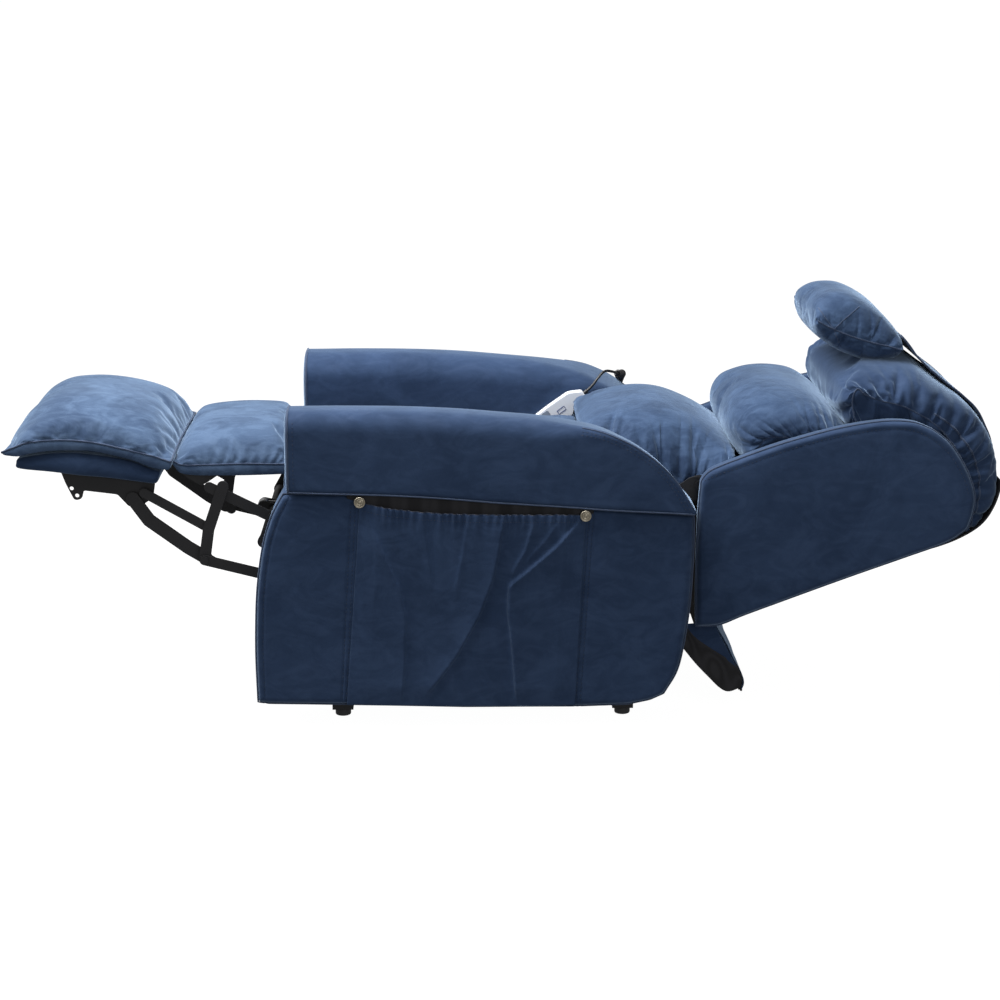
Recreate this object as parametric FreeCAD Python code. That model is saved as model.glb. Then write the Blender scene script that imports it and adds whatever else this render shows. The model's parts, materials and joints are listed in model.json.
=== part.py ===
import FreeCAD, Part
import math
import os

os.makedirs("parts", exist_ok=True)
Vec = FreeCAD.Vector

# Lift recliner chair, laid out flat with the legrest raised. Millimetres.
# X is across the chair, the sitter's left is +X. The sitter's feet point to -Y, Z is up.
# Side profiles are drawn as (y, z) or (y, z, corner radius) from a datum inside the seat;
# CENTRE_Y moves the finished pieces so that the origin lies on the floor under the middle.

CENTRE_Y = 110.2

# ---- driving dimensions: widths, measured from the middle plane
PAD_OUT = 378.0          # arm pad, outer face
PANEL_OUT = 368.0        # side panel, outer face
ARM_IN = 250.0           # arm, inner face
SEAT_HALF = 220.0        # seat cushion
FOOT_HALF = 242.0        # footrest pillow
BOARD_HALF = 234.0       # footrest board
CALF_HALF = 202.0        # calf pillow
WING_IN = 252.0          # backrest wing, inner face
WING_OUT = 298.0         # backrest wing, outer face
BACK_HALF = 246.0        # cushions between the wings
SHEET = 4.0              # steel link plate
COVER = 14.0             # padded cover skin

# ---- driving dimensions: heights
FOOT_HEIGHT = 14.0
BASE_TOP = 34.0
RAIL_LOW = 176.0         # seat frame rails
RAIL_HIGH = 216.0
SEAT_BOX_LOW = 400.0
SEAT_BOX_HIGH = 430.0

# ---- pivots, all about X, as (y, z)
BASE_FRONT = (-170.0, 70.0)
SEAT_FRONT = (-20.0, 100.0)
BASE_REAR = (20.0, 70.0)
SEAT_REAR = (290.0, 100.0)
LIFT_HEEL = (345.0, 120.0)
LIFT_CRANK = (-50.0, 135.0)
UPPER_LINK = (-337.1, 373.2)
LOWER_LINK = (-340.3, 261.4)
CROSS_TOP = (-441.8, 425.4)
CROSS_FOOT = (-475.0, 295.7)
CROSS_MIDDLE = (-466.4, 354.6)
FOOT_MAIN = (-610.7, 412.4)
FOOT_SECOND = (-588.2, 424.6)
CALF_HINGE = (-310.0, 465.0)
DRIVE_TUBE = (-362.0, 329.0)
LEG_CRANK = (-382.0, 333.6)
LEG_HEEL = (190.0, 300.0)
BACK_PIVOT = (470.0, 440.0)
BACK_HEEL = (-60.0, 262.0)
BACK_CRANK = (480.0, 322.0)

# ---- motors, across the chair
LIFT_MOTOR_X = 0.0
LEG_MOTOR_X = -60.0
BACK_MOTOR_X = 60.0

# ---- link planes: lowest |x| of each sheet, so that no two links share one
PLATE_X = 241.0
LOWER_X = 236.0
CROSS_X = 231.0
UPPER_X = 226.0
SECOND_X = 221.0
GOOSE_X = 216.0
BRACKET_X = 211.0
STUD = 5.0               # rivet radius
RUNNING = 0.05           # radial clearance of a turning fit

HANDSET_X = -239.5       # middle of the handset, between the cushion and the right arm
HANDSET_THICK = 18.0
HANDSET_LEAN = 36.0      # degrees
HANDSET_LENGTH = 165.0
HANDSET_TOP = (275.0, 528.0)


# ---------------------------------------------------------------- helpers
def corner_arcs(points):
    """Each corner's radius, held to what its two sides allow, with its tangent points."""
    count = len(points)
    corners = []
    for i in range(count):
        here = Vec(0, points[i][0], points[i][1])
        before = Vec(0, points[i - 1][0], points[i - 1][1])
        after = Vec(0, points[(i + 1) % count][0], points[(i + 1) % count][1])
        radius = points[i][2] if len(points[i]) > 2 else 0.0
        back = before - here
        on = after - here
        turn = math.pi - back.getAngle(on)
        if radius <= 0 or turn < 1e-4:
            corners.append((here, here, here))
            continue
        reach = min(radius * math.tan(turn / 2), 0.48 * min(back.Length, on.Length))
        radius = reach / math.tan(turn / 2)
        start = here + back.normalize() * reach
        end = here + on.normalize() * reach
        inward = (back + on).normalize()
        middle = here + inward * (radius / math.cos(turn / 2) - radius)
        corners.append((start, middle, end))
    return corners


def outline(points):
    """Closed wire in the plane x = 0 with straight sides and rounded corners."""
    edges = []
    corners = corner_arcs(points)
    for i, (start, middle, end) in enumerate(corners):
        if start != end:
            edges.append(Part.Arc(start, middle, end).toShape())
        following = corners[(i + 1) % len(corners)][0]
        if (following - end).Length > 1e-6:
            edges.append(Part.LineSegment(end, following).toShape())
    return Part.Wire(edges)


def slab(points, x0, x1):
    """A side profile carried across the chair from x0 to x1."""
    face = Part.Face(outline(points))
    face.translate(Vec(x0, 0, 0))
    return face.extrude(Vec(x1 - x0, 0, 0))


def pad(points, x0, x1, edge):
    """A cushion: a side profile with its two end edges rounded."""
    body = slab(points, x0, x1)
    ends = [e for e in body.Edges if all(abs(v.Point.x - x0) < 1e-6 for v in e.Vertexes)]
    ends += [e for e in body.Edges if all(abs(v.Point.x - x1) < 1e-6 for v in e.Vertexes)]
    return body.makeFillet(edge, ends)


def strip_points(line, thickness):
    """Outline of a band of even thickness on the left of a side-view line."""
    offset = []
    for i, here in enumerate(line):
        before = line[max(i - 1, 0)]
        after = line[min(i + 1, len(line) - 1)]
        dy = after[0] - before[0]
        dz = after[1] - before[1]
        size = math.hypot(dy, dz)
        offset.append((here[0] - dz / size * thickness, here[1] + dy / size * thickness))
    return [tuple(p) for p in line] + offset[::-1]


def box(x0, x1, y0, y1, z0, z1):
    return Part.makeBox(x1 - x0, y1 - y0, z1 - z0, Vec(x0, y0, z0))


def pin(pivot, x0, x1, radius):
    """Round bar across the chair on a pivot."""
    return Part.makeCylinder(radius, x1 - x0, Vec(x0, pivot[0], pivot[1]), Vec(1, 0, 0))


def bar_between(x0, x1, a, b, half):
    """Flat bar in the plane x0..x1 with round ends on two pivots."""
    dy = b[0] - a[0]
    dz = b[1] - a[1]
    size = math.hypot(dy, dz)
    ny = -dz / size * half
    nz = dy / size * half
    middle = slab([(a[0] + ny, a[1] + nz), (b[0] + ny, b[1] + nz),
                   (b[0] - ny, b[1] - nz), (a[0] - ny, a[1] - nz)], x0, x1)
    return middle.fuse([pin(a, x0, x1, half), pin(b, x0, x1, half)])


def link(x0, path, half, holes=(), studs=()):
    """Link plate that follows a path of pivots. holes are pivots it turns on;
    studs are (pivot, low x, high x) of rivets that are part of it."""
    x1 = x0 + SHEET
    plate = bar_between(x0, x1, path[0], path[1], half)
    for a, b in zip(path[1:], path[2:]):
        plate = plate.fuse(bar_between(x0, x1, a, b, half))
    for pivot in holes:
        plate = plate.cut(pin(pivot, x0 - 1, x1 + 1, STUD + RUNNING))
    for pivot, low, high in studs:
        plate = plate.fuse(pin(pivot, low, high, STUD))
    return plate.removeSplitter()


def mirrored(shape):
    return shape.mirror(Vec(0, 0, 0), Vec(1, 0, 0))


def both(shape):
    return Part.makeCompound([shape, mirrored(shape)])


def along(a, b, distance):
    """The point at a distance from a towards b, as (y, z)."""
    size = math.hypot(b[0] - a[0], b[1] - a[1])
    return (a[0] + (b[0] - a[0]) * distance / size, a[1] + (b[1] - a[1]) * distance / size)


def round_bar(a, b, x, radius):
    """Round bar in the plane x, between two side-view points."""
    axis = Vec(0, b[0] - a[0], b[1] - a[1])
    return Part.makeCylinder(radius, axis.Length, Vec(x, a[0], a[1]), axis)


written = {}


def write(name, shape):
    """Move a finished piece from the datum to the origin and write it."""
    piece = shape.copy()
    piece.translate(Vec(0, -CENTRE_Y, 0))
    if not piece.isValid():
        print("NOT VALID:", name)
    piece.exportStep("parts/%s.step" % name)
    written[name] = piece


def write_pair(name, left):
    write(name + "_left", left)
    write(name + "_right", mirrored(left))


# ---------------------------------------------------------------- base on the floor
BASE_WIDE = 300.0
BASE_RAIL = 150.0
FOOT_X = 282.0
EAR = 6.0
PIVOT_PIN = 7.0
BASE_FRONT_BAR = (-232.0, -192.0)
BASE_REAR_BAR = (305.0, 345.0)
LINK_X = 128.0
ARM_X = 184.0


def base_frame():
    """Welded floor frame: two cross bars, two rails, pivot ears and the lift motor's ears."""
    pieces = []
    for y0, y1 in (BASE_FRONT_BAR, BASE_REAR_BAR):
        pieces.append(box(-BASE_WIDE, BASE_WIDE, y0, y1, FOOT_HEIGHT, BASE_TOP))
    for side in (-1, 1):
        x0, x1 = sorted((side * BASE_RAIL, side * (BASE_RAIL + 26)))
        pieces.append(box(x0, x1, BASE_FRONT_BAR[0], BASE_REAR_BAR[1], FOOT_HEIGHT, BASE_TOP + 10))
        for pivot, x_ear in ((BASE_FRONT, BASE_RAIL), (BASE_REAR, BASE_RAIL + 20)):
            e0, e1 = sorted((side * x_ear, side * (x_ear + EAR)))
            ear = [(pivot[0] - 32, BASE_TOP), (pivot[0] - 13, pivot[1] + 14, 13),
                   (pivot[0] + 13, pivot[1] + 14, 13), (pivot[0] + 32, BASE_TOP)]
            pieces.append(slab(ear, e0, e1))
        pieces.append(pin(BASE_REAR, *sorted((side * (BASE_RAIL + 20), side * (ARM_X + 12))), PIVOT_PIN))
        e0, e1 = sorted((side * 14, side * 20))
        heel = [(310, BASE_TOP - 2), (330, LIFT_HEEL[1] + 14, 12), (360, LIFT_HEEL[1] + 14, 12),
                (360, 60, 10), (345, BASE_TOP - 2)]
        pieces.append(slab(heel, e0, e1))
    pieces.append(pin(LIFT_HEEL, -24, 24, HEEL_PIN))
    frame = pieces[0].fuse(pieces[1:])
    for side in (-1, 1):
        x0, x1 = sorted((side * (BASE_RAIL - 1), side * (BASE_RAIL + 27)))
        frame = frame.cut(pin(BASE_FRONT, x0, x1, PIVOT_PIN + RUNNING))
    return frame.removeSplitter()


def base_feet():
    """Four levelling pads under the ends of the cross bars."""
    feet = []
    for x in (-FOOT_X, FOOT_X):
        for y0, y1 in (BASE_FRONT_BAR, BASE_REAR_BAR):
            disc = Part.makeCylinder(15, FOOT_HEIGHT, Vec(x, (y0 + y1) / 2, 0))
            feet.append(disc.makeFillet(3, [disc.Edges[0], disc.Edges[2]]))
    return Part.makeCompound(feet)


def front_links():
    """Torque tube on the front base pivots with two lift links and the motor's crank."""
    tube = pin(BASE_FRONT, -(BASE_RAIL - 1), BASE_RAIL - 1, 13)
    tube = tube.fuse(pin(BASE_FRONT, -(BASE_RAIL + 14), BASE_RAIL + 14, PIVOT_PIN))
    for side in (-1, 1):
        x0, x1 = sorted((side * LINK_X, side * (LINK_X + 8)))
        arm = bar_between(x0, x1, BASE_FRONT, SEAT_FRONT, 16)
        arm = arm.cut(pin(SEAT_FRONT, x0 - 1, x1 + 1, 12))
        tube = tube.fuse(arm)
        x0, x1 = sorted((side * 14, side * 20))
        tube = tube.fuse(bar_between(x0, x1, BASE_FRONT, LIFT_CRANK, 14))
    return tube.removeSplitter()


def rear_lift_arms():
    """Two flat steel arms between the base and the back of the seat frame."""
    arm = bar_between(ARM_X, ARM_X + 8, BASE_REAR, SEAT_REAR, 17)
    arm = arm.cut(pin(BASE_REAR, ARM_X - 1, ARM_X + 9, PIVOT_PIN + RUNNING))
    arm = arm.cut(pin(SEAT_REAR, ARM_X - 1, ARM_X + 9, PIVOT_PIN + RUNNING))
    return both(arm)


# ---------------------------------------------------------------- linear motors
TUBE = 20.0              # outer tube radius
TUBE_BORE = 12.5
ROD = 10.0
GEARBOX = (30.0, 84.0)   # start and end, measured from the heel pivot
GEARBOX_RADIUS = 27.0
CAN_RADIUS = 22.0        # electric motor can, square to the tube
CAN_LENGTH = 78.0
EYE_RADIUS = 14.0
EYE_HALF = 12.0          # half width of the rear eye
NECK_RADIUS = 11.0
HEEL_PIN = 6.0
ROD_EYE_RADIUS = 13.0
ROD_EYE_HALF = 13.0


def motor_housing(heel, end, x, tube_end, motor_side):
    """Motor, gearbox and outer tube of one drive, with its rear eye on the heel pivot."""
    eye = pin(heel, x - EYE_HALF, x + EYE_HALF, EYE_RADIUS)
    eye = eye.fuse(round_bar(heel, along(heel, end, GEARBOX[0] + 2), x, NECK_RADIUS))
    case = round_bar(along(heel, end, GEARBOX[0]), along(heel, end, GEARBOX[1]), x, GEARBOX_RADIUS)
    dy = (end[0] - heel[0]) / math.dist(heel, end)
    dz = (end[1] - heel[1]) / math.dist(heel, end)
    normal = (-dz * motor_side, dy * motor_side)
    foot = along(heel, end, (GEARBOX[0] + GEARBOX[1]) / 2)
    can_start = (foot[0] + normal[0] * 4, foot[1] + normal[1] * 4)
    can_end = (foot[0] + normal[0] * CAN_LENGTH, foot[1] + normal[1] * CAN_LENGTH)
    can = round_bar(can_start, can_end, x, CAN_RADIUS)
    tube = round_bar(along(heel, end, GEARBOX[1] - 2), along(heel, end, tube_end), x, TUBE)
    body = eye.fuse([case, can, tube])
    body = body.cut(round_bar(along(heel, end, GEARBOX[1] + 4), along(heel, end, tube_end + 1), x, TUBE_BORE))
    body = body.cut(pin(heel, x - EYE_HALF - 1, x + EYE_HALF + 1, HEEL_PIN + RUNNING))
    return body.removeSplitter()


def motor_rod(heel, end, x, rod_start):
    """Sliding rod of one drive, with its front eye at the open end of the crank."""
    rod = round_bar(along(heel, end, rod_start), along(heel, end, math.dist(heel, end) - 4), x, ROD)
    return rod.fuse(pin(end, x - ROD_EYE_HALF, x + ROD_EYE_HALF, ROD_EYE_RADIUS)).removeSplitter()


# ---------------------------------------------------------------- seat frame and mechanism
RAIL_IN = 195.0
RAIL_OUT = 220.0
CROSS_BARS = ((-285.0, -250.0), (-75.0, -45.0), (296.0, 330.0))
POSTS = ((-240.0, -215.0), (300.0, 325.0))


def chassis_frame():
    """Welded seat frame with lift ears, motor ears and posts up to the seat plates."""
    pieces = []
    for side in (-1, 1):
        x0, x1 = sorted((side * RAIL_IN, side * RAIL_OUT))
        pieces.append(box(x0, x1, CROSS_BARS[0][0], CROSS_BARS[2][1], RAIL_LOW, RAIL_HIGH))
        for y0, y1 in POSTS:
            p0, p1 = sorted((side * (RAIL_OUT - 4), side * PLATE_X))
            pieces.append(box(p0, p1, y0, y1, RAIL_HIGH - 6, SEAT_BOX_LOW - 6))
        e0, e1 = sorted((side * (ARM_X + 10), side * (ARM_X + 16)))
        rear = [(262, RAIL_LOW + 4), (SEAT_REAR[0] - 14, SEAT_REAR[1] - 14, 14),
                (SEAT_REAR[0] + 14, SEAT_REAR[1] - 14, 14), (322, RAIL_LOW + 4)]
        pieces.append(slab(rear, e0, e1))
        pieces.append(pin(SEAT_REAR, *sorted((side * (ARM_X - 4), side * (ARM_X + 16))), PIVOT_PIN))
        f0, f1 = sorted((side * (LINK_X - 8), side * (LINK_X - 2)))
        front = [(-72, RAIL_LOW + 4), (SEAT_FRONT[0] - 14, SEAT_FRONT[1] - 14, 14),
                 (SEAT_FRONT[0] + 14, SEAT_FRONT[1] - 14, 14), (-48, RAIL_LOW + 4)]
        pieces.append(slab(front, f0, f1))
        pieces.append(pin(SEAT_FRONT, *sorted((side * (LINK_X - 8), side * (LINK_X + 6))), 5))
    wide = (ARM_IN, RAIL_IN + 5, ARM_IN)
    for half, (y0, y1) in zip(wide, CROSS_BARS):
        pieces.append(box(-half, half, y0, y1, RAIL_LOW, RAIL_HIGH))
    for x, heel, bar in ((BACK_MOTOR_X, BACK_HEEL, CROSS_BARS[1]), (LEG_MOTOR_X, LEG_HEEL, None)):
        for side in (-1, 1):
            x0, x1 = sorted((x + side * 14, x + side * 20))
            if bar:
                ear = [(bar[0], RAIL_HIGH - 4), (heel[0] - 14, heel[1] + 14, 14),
                       (heel[0] + 14, heel[1] + 14, 14), (bar[1], RAIL_HIGH - 4)]
            else:
                ear = [(CROSS_BARS[2][0], RAIL_HIGH - 4), (heel[0] - 14, heel[1] + 2, 12),
                       (heel[0] - 4, heel[1] + 16, 12), (CROSS_BARS[2][1], RAIL_HIGH + 20),
                       (CROSS_BARS[2][1], RAIL_HIGH - 4)]
            pieces.append(slab(ear, x0, x1))
        pieces.append(pin(heel, x - 22, x + 22, HEEL_PIN))
    return pieces[0].fuse(pieces[1:]).removeSplitter()


def seat_plate():
    """Left mechanism plate: carries the legrest links in front and the back pivot behind."""
    profile = [(UPPER_LINK[0] - 16, LOWER_LINK[1] - 14, 12), (LOWER_LINK[0] + 22, LOWER_LINK[1] - 14, 12),
               (-255, 330, 60), (-215, 372, 20), (330, 372, 20), (BACK_PIVOT[0] + 16, 418, 18),
               (BACK_PIVOT[0] + 16, BACK_PIVOT[1] + 16, 16), (BACK_PIVOT[0] - 16, BACK_PIVOT[1] + 16, 16),
               (390, 412, 30), (-250, 404, 20), (UPPER_LINK[0] - 16, UPPER_LINK[1] + 18, 16)]
    plate = slab(profile, PLATE_X, PLATE_X + SHEET)
    plate = plate.fuse(pin(LOWER_LINK, LOWER_X, PLATE_X + SHEET, STUD))
    plate = plate.fuse(pin(UPPER_LINK, UPPER_X, PLATE_X + SHEET, STUD))
    plate = plate.fuse(pin(BACK_PIVOT, PLATE_X - 6, PLATE_X + SHEET, 8))
    for pivot in (UPPER_LINK, LOWER_LINK, BACK_PIVOT):
        plate = plate.fuse(pin(pivot, PLATE_X + SHEET, PLATE_X + SHEET + 3, 9))
    return plate.removeSplitter()


def upper_link():
    """From the seat plate to the top of the cross link, with the lug of the drive tube."""
    size = math.dist(UPPER_LINK, CROSS_TOP)
    nose = along(UPPER_LINK, CROSS_TOP, size + 24)
    plate = link(UPPER_X, [UPPER_LINK, CROSS_TOP, nose], 10)
    lug = bar_between(UPPER_X, UPPER_X + SHEET, UPPER_LINK, DRIVE_TUBE, 12)
    plate = plate.fuse(lug)
    plate = plate.cut(pin(UPPER_LINK, UPPER_X - 1, UPPER_X + SHEET + 1, STUD + RUNNING))
    plate = plate.cut(pin(DRIVE_TUBE, UPPER_X - 1, UPPER_X + SHEET + 1, 10))
    plate = plate.fuse(pin(CROSS_TOP, UPPER_X, CROSS_X + SHEET, STUD))
    return plate.removeSplitter()


def drive_tube():
    """Cranked cross tube that turns both upper links: each half ends in a cheek beside the
    legrest motor's eye."""
    halves = []
    for tube_end, cheek in ((UPPER_X + SHEET, LEG_MOTOR_X + 14), (-(UPPER_X + SHEET), LEG_MOTOR_X - 20)):
        low, high = sorted((tube_end, cheek + 3))
        half = pin(DRIVE_TUBE, low, high, 10)
        half = half.fuse(bar_between(cheek, cheek + 6, DRIVE_TUBE, LEG_CRANK, 12))
        halves.append(half.removeSplitter())
    return Part.makeCompound(halves)


def lower_links():
    plate = link(LOWER_X, [LOWER_LINK, CROSS_FOOT], 10, holes=[LOWER_LINK])
    return both(plate.fuse(pin(CROSS_FOOT, LOWER_X + SHEET, LOWER_X + SHEET + 3, 8)).removeSplitter())


def cross_links():
    """From the upper link's pivot down to the gooseneck, with the second link's pivot between."""
    top = along(CROSS_MIDDLE, CROSS_TOP, math.dist(CROSS_MIDDLE, CROSS_TOP) + 14)
    plate = link(CROSS_X, [top, CROSS_TOP, CROSS_MIDDLE, CROSS_FOOT], 11, holes=[CROSS_TOP],
                 studs=[(CROSS_MIDDLE, SECOND_X, CROSS_X), (CROSS_FOOT, GOOSE_X, CROSS_X)])
    return both(plate)


def gooseneck():
    """Curved main link that carries the footrest."""
    knee = (-581.0, 370.0)
    waist = (-508.0, 316.0)
    plate = link(GOOSE_X, [CROSS_FOOT, waist, knee, FOOT_MAIN], 13, holes=[CROSS_FOOT],
                 studs=[(FOOT_MAIN, BRACKET_X, GOOSE_X)])
    heel = along(waist, CROSS_FOOT, math.dist(waist, CROSS_FOOT) + 14)
    return plate.fuse(link(GOOSE_X, [CROSS_FOOT, heel], 10, holes=[CROSS_FOOT])).removeSplitter()


def second_links():
    return both(link(SECOND_X, [CROSS_MIDDLE, FOOT_SECOND], 9, holes=[CROSS_MIDDLE]))


def footrest_bracket():
    """Flanged plate under the footrest board with the two link pivots and a notched tail."""
    profile = [(-746, 464), (-738, 442, 6), (-722, 408, 8), (-708, 412, 8), (-704, 428, 4),
               (-640, 420, 12), (FOOT_MAIN[0] - 8, 396, 12), (FOOT_MAIN[0] + 14, 396, 14),
               (-572, 414, 12), (-568, 440.6)]
    plate = slab(profile, BRACKET_X, BRACKET_X + SHEET)
    plate = plate.cut(pin(FOOT_MAIN, BRACKET_X - 1, BRACKET_X + SHEET + 1, STUD + RUNNING))
    for hole in ((-727, 432), (-717, 418)):
        plate = plate.cut(pin(hole, BRACKET_X - 1, BRACKET_X + SHEET + 1, 4))
    flange = slab([(-746, 464), (-742, 459), (-570, 437), (-568, 440.6)], BRACKET_X - 24, BRACKET_X + 1)
    plate = plate.fuse(flange)
    return plate.fuse(pin(FOOT_SECOND, BRACKET_X, SECOND_X - 0.5, STUD)).removeSplitter()


def footrest_springs():
    """Two small extension springs beside the footrest brackets."""
    radius = 5.0
    wire = 0.9
    length = 40.0
    helix = Part.makeHelix(3.4, length, radius)
    profile = Part.Wire([Part.makeCircle(wire, Vec(radius, 0, 0), Vec(0, 1, 0))])
    spring = Part.Wire(helix.Edges).makePipeShell([profile], True, True)
    spring.rotate(Vec(0, 0, 0), Vec(1, 0, 0), 82)
    spring.translate(Vec(BRACKET_X - 14, -652, 434))
    return both(spring)


BOARD_LINE = ((-822.0, 476.0), (-566.0, 441.0))


def footrest_board():
    """Upholstered board under the footrest pillow."""
    profile = [(BOARD_LINE[0][0], BOARD_LINE[0][1], 6), (BOARD_LINE[1][0], BOARD_LINE[1][1], 6),
               (-556, 466, 5), (-620, 489, 40), (-700, 500, 60), (-760, 501, 60), (-826, 492, 6)]
    return pad(profile, -BOARD_HALF, BOARD_HALF, 4)


def footrest_pillow():
    """Thick foot pillow with a pointed nose and a rounded crown."""
    profile = [(-829, 493, 6), (-862, 488, 12), (-856, 512, 14), (-824, 560, 40), (-785, 594, 50),
               (-744, 604, 60), (-684, 603, 60), (-605, 586, 60), (-556, 560, 50), (-528, 530, 12),
               (-532, 488, 8), (-558, 468, 6), (-621, 491, 40), (-700, 502.5, 60), (-760, 503.5, 60)]
    return pad(profile, -FOOT_HALF, FOOT_HALF, 12)


def calf_board():
    """Board hinged to the front of the seat, with its hinge knuckles and side brackets."""
    board = box(-CALF_HALF + 4, CALF_HALF - 4, -514, -326, 458, 471)
    for x in (-150, 150):
        knuckle = bar_between(x - 14, x + 14, (-334, 465), CALF_HINGE, 6)
        board = board.fuse(knuckle).cut(pin(CALF_HINGE, x - 15, x + 15, 3 + RUNNING))
    for side in (-1, 1):
        x0, x1 = sorted((side * (CALF_HALF - 10), side * (CALF_HALF - 6)))
        horn = [(-522, 459, 4), (-508, 448, 6), (-482, 432, 8), (-468, 440, 8), (-440, 459)]
        board = board.fuse(slab(horn, x0, x1))
    return board.removeSplitter()


def calf_pillow():
    profile = [(-530, 480, 8), (-527, 524, 16), (-476, 545, 60), (-416, 549, 80), (-330, 546, 20),
               (-306.5, 528, 16), (-306.5, 478, 5), (-322, 472, 4), (-516, 472, 4)]
    return pad(profile, -CALF_HALF, CALF_HALF, 9)


# ---------------------------------------------------------------- seat
def seat_box():
    """Wooden seat frame with the fixed hinge plates of the calf board."""
    outer = box(-228, 228, -262, 395, SEAT_BOX_LOW + 6, SEAT_BOX_HIGH)
    seat = outer.cut(box(-204, 204, -236, 369, SEAT_BOX_LOW, SEAT_BOX_HIGH + 1))
    for x in (-150, 150):
        for x0 in (x - 19, x + 15):
            ear = [(-264, 408), (-264, 438), (CALF_HINGE[0] + 2, CALF_HINGE[1] + 8, 7),
                   (CALF_HINGE[0] - 7, CALF_HINGE[1] + 4, 7), (CALF_HINGE[0] - 5, CALF_HINGE[1] - 7, 6),
                   (-297, 454)]
            seat = seat.fuse(slab(ear, x0, x0 + 4))
        seat = seat.fuse(pin(CALF_HINGE, x - 19, x + 19, 3))
    return seat.removeSplitter()


def sinuous(x_middle, y0, y1, z, turns, reach, wire):
    """Zigzag wire spring from y0 to y1: straight runs across joined by half rings."""
    pitch = (y1 - y0) / (2 * turns)
    edges = []
    side = -1
    y = y0 + pitch / 2
    for k in range(2 * turns):
        a = Vec(x_middle + side * reach, y, z)
        b = Vec(x_middle - side * reach, y, z)
        edges.append(Part.LineSegment(a, b).toShape())
        if k < 2 * turns - 1:
            crown = Vec(b.x - side * pitch / 2, y + pitch / 2, z)
            edges.append(Part.Arc(b, crown, Vec(b.x, y + pitch, z)).toShape())
        y += pitch
        side = -side
    path = Part.Wire(edges)
    start = path.Edges[0].valueAt(path.Edges[0].FirstParameter)
    profile = Part.Wire([Part.makeCircle(wire, start, Vec(1, 0, 0))])
    return path.makePipeShell([profile], True, True)


def seat_springs():
    springs = [sinuous(x, -235, 368, 420, 10, 18, 1.9) for x in (-160, -80, 0, 80, 160)]
    return Part.makeCompound(springs)


def seat_cushion():
    profile = [(-258, 432, 8), (-300, 484, 10), (-300, 520, 18), (-268, 536, 40), (-60, 528, 200),
               (180, 508, 200), (356, 490, 60), (398, 474, 14), (398, 432, 10)]
    return pad(profile, -SEAT_HALF, SEAT_HALF, 16)


# ---------------------------------------------------------------- arms
PAD_LOW = [(440.0, 414.0), (273.0, 423.0), (88.0, 437.0), (-97.0, 451.0), (-310.0, 458.0)]


def side_outline(inset):
    """Outline of the arm box under its pad, drawn in by inset."""
    i = inset
    return [(-362 + i, 48 + i, 18), (60, 37 + i, 400), (330, 38 + i, 60), (414 - i, 82 + i, 70),
            (446 - i, 250, 300), (451 - i, 410 - i, 5), (440 - i, 413 - i), (273, 422.5 - i),
            (88, 436.5 - i), (-97, 450.5 - i), (-307 + i, 457.5 - i, 4), (-352 + i, 335, 120),
            (-368 + i, 200, 200)]


def side_panel():
    """Left arm box: padded cover around a hollow that holds the arm frame."""
    skin = slab(side_outline(0), ARM_IN, PANEL_OUT)
    return skin.cut(slab(side_outline(COVER), ARM_IN + 8, PANEL_OUT - COVER))


def arm_frames():
    """Wooden ring frame inside each arm box."""
    ring = slab(side_outline(COVER + 1), ARM_IN + 12, PANEL_OUT - COVER - 3)
    ring = ring.cut(slab(side_outline(COVER + 34), ARM_IN, PANEL_OUT))
    post = box(ARM_IN + 14, PANEL_OUT - COVER - 5, 20, 48, 70, 400)
    return both(ring.fuse(post).removeSplitter())


def arm_pad():
    """Left arm pad: full-length roll that overhangs the side and slopes down behind."""
    top = [(-318, 608), (-100, 608, 600), (90, 597, 600), (232, 583, 300), (300, 570, 160),
           (380, 518, 160), (440, 448, 90), (457, 412)]
    body = slab(PAD_LOW + [(-318, 458.3)] + top, ARM_IN, PAD_OUT)
    for x, radius in ((PAD_OUT, 36), (ARM_IN, 32)):
        crest = [e for e in body.Edges if abs(e.BoundBox.XMin - x) < 1e-6 and e.BoundBox.XLength < 1e-6
                 and e.BoundBox.ZMax > 459 and e.BoundBox.YLength > 1]
        body = body.makeFillet(radius, crest)
    return body


POCKET_TOP = [(240.0, 417.0), (150.0, 409.0), (30.0, 408.0), (-80.0, 415.0), (-166.0, 432.0)]


def side_pocket():
    """Left magazine pocket: open at the top, closed along its two seams and its foot."""
    front = [(-200, 62, 6), (228, 60, 6)] + POCKET_TOP
    bag = slab(front, PANEL_OUT + 0.2, PANEL_OUT + 9)
    hollow = [(-188, 76, 6), (217, 74, 6), (228, 460), (-158, 460)]
    return bag.cut(slab(hollow, PANEL_OUT - 1, PANEL_OUT + 6))


def pocket_snaps():
    """Four press-stud caps at the pocket's upper corners."""
    caps = []
    for y, z in ((-172, 440), (247, 412.5)):
        stem = pin((y, z), PANEL_OUT + 0.3, PANEL_OUT + 9, 6)
        cap = pin((y, z), PANEL_OUT + 9, PANEL_OUT + 12, 10.5)
        rim = cap.makeFillet(1.2, [e for e in cap.Edges if e.BoundBox.XMin > PANEL_OUT + 11.5])
        caps.append(rim.fuse(stem).removeSplitter())
    return Part.makeCompound(caps + [mirrored(c) for c in caps])


# ---------------------------------------------------------------- electrics
def control_box():
    case = box(-186, -96, 60, 230, RAIL_HIGH + 1, RAIL_HIGH + 48)
    case = case.makeFillet(6, [e for e in case.Edges if e.BoundBox.ZLength > 40])
    tray = box(-194.5, -90, 70, 90, RAIL_HIGH - 3, RAIL_HIGH + 1)
    return case.fuse([tray, box(-194.5, -90, 200, 220, RAIL_HIGH - 3, RAIL_HIGH + 1)]).removeSplitter()


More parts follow.
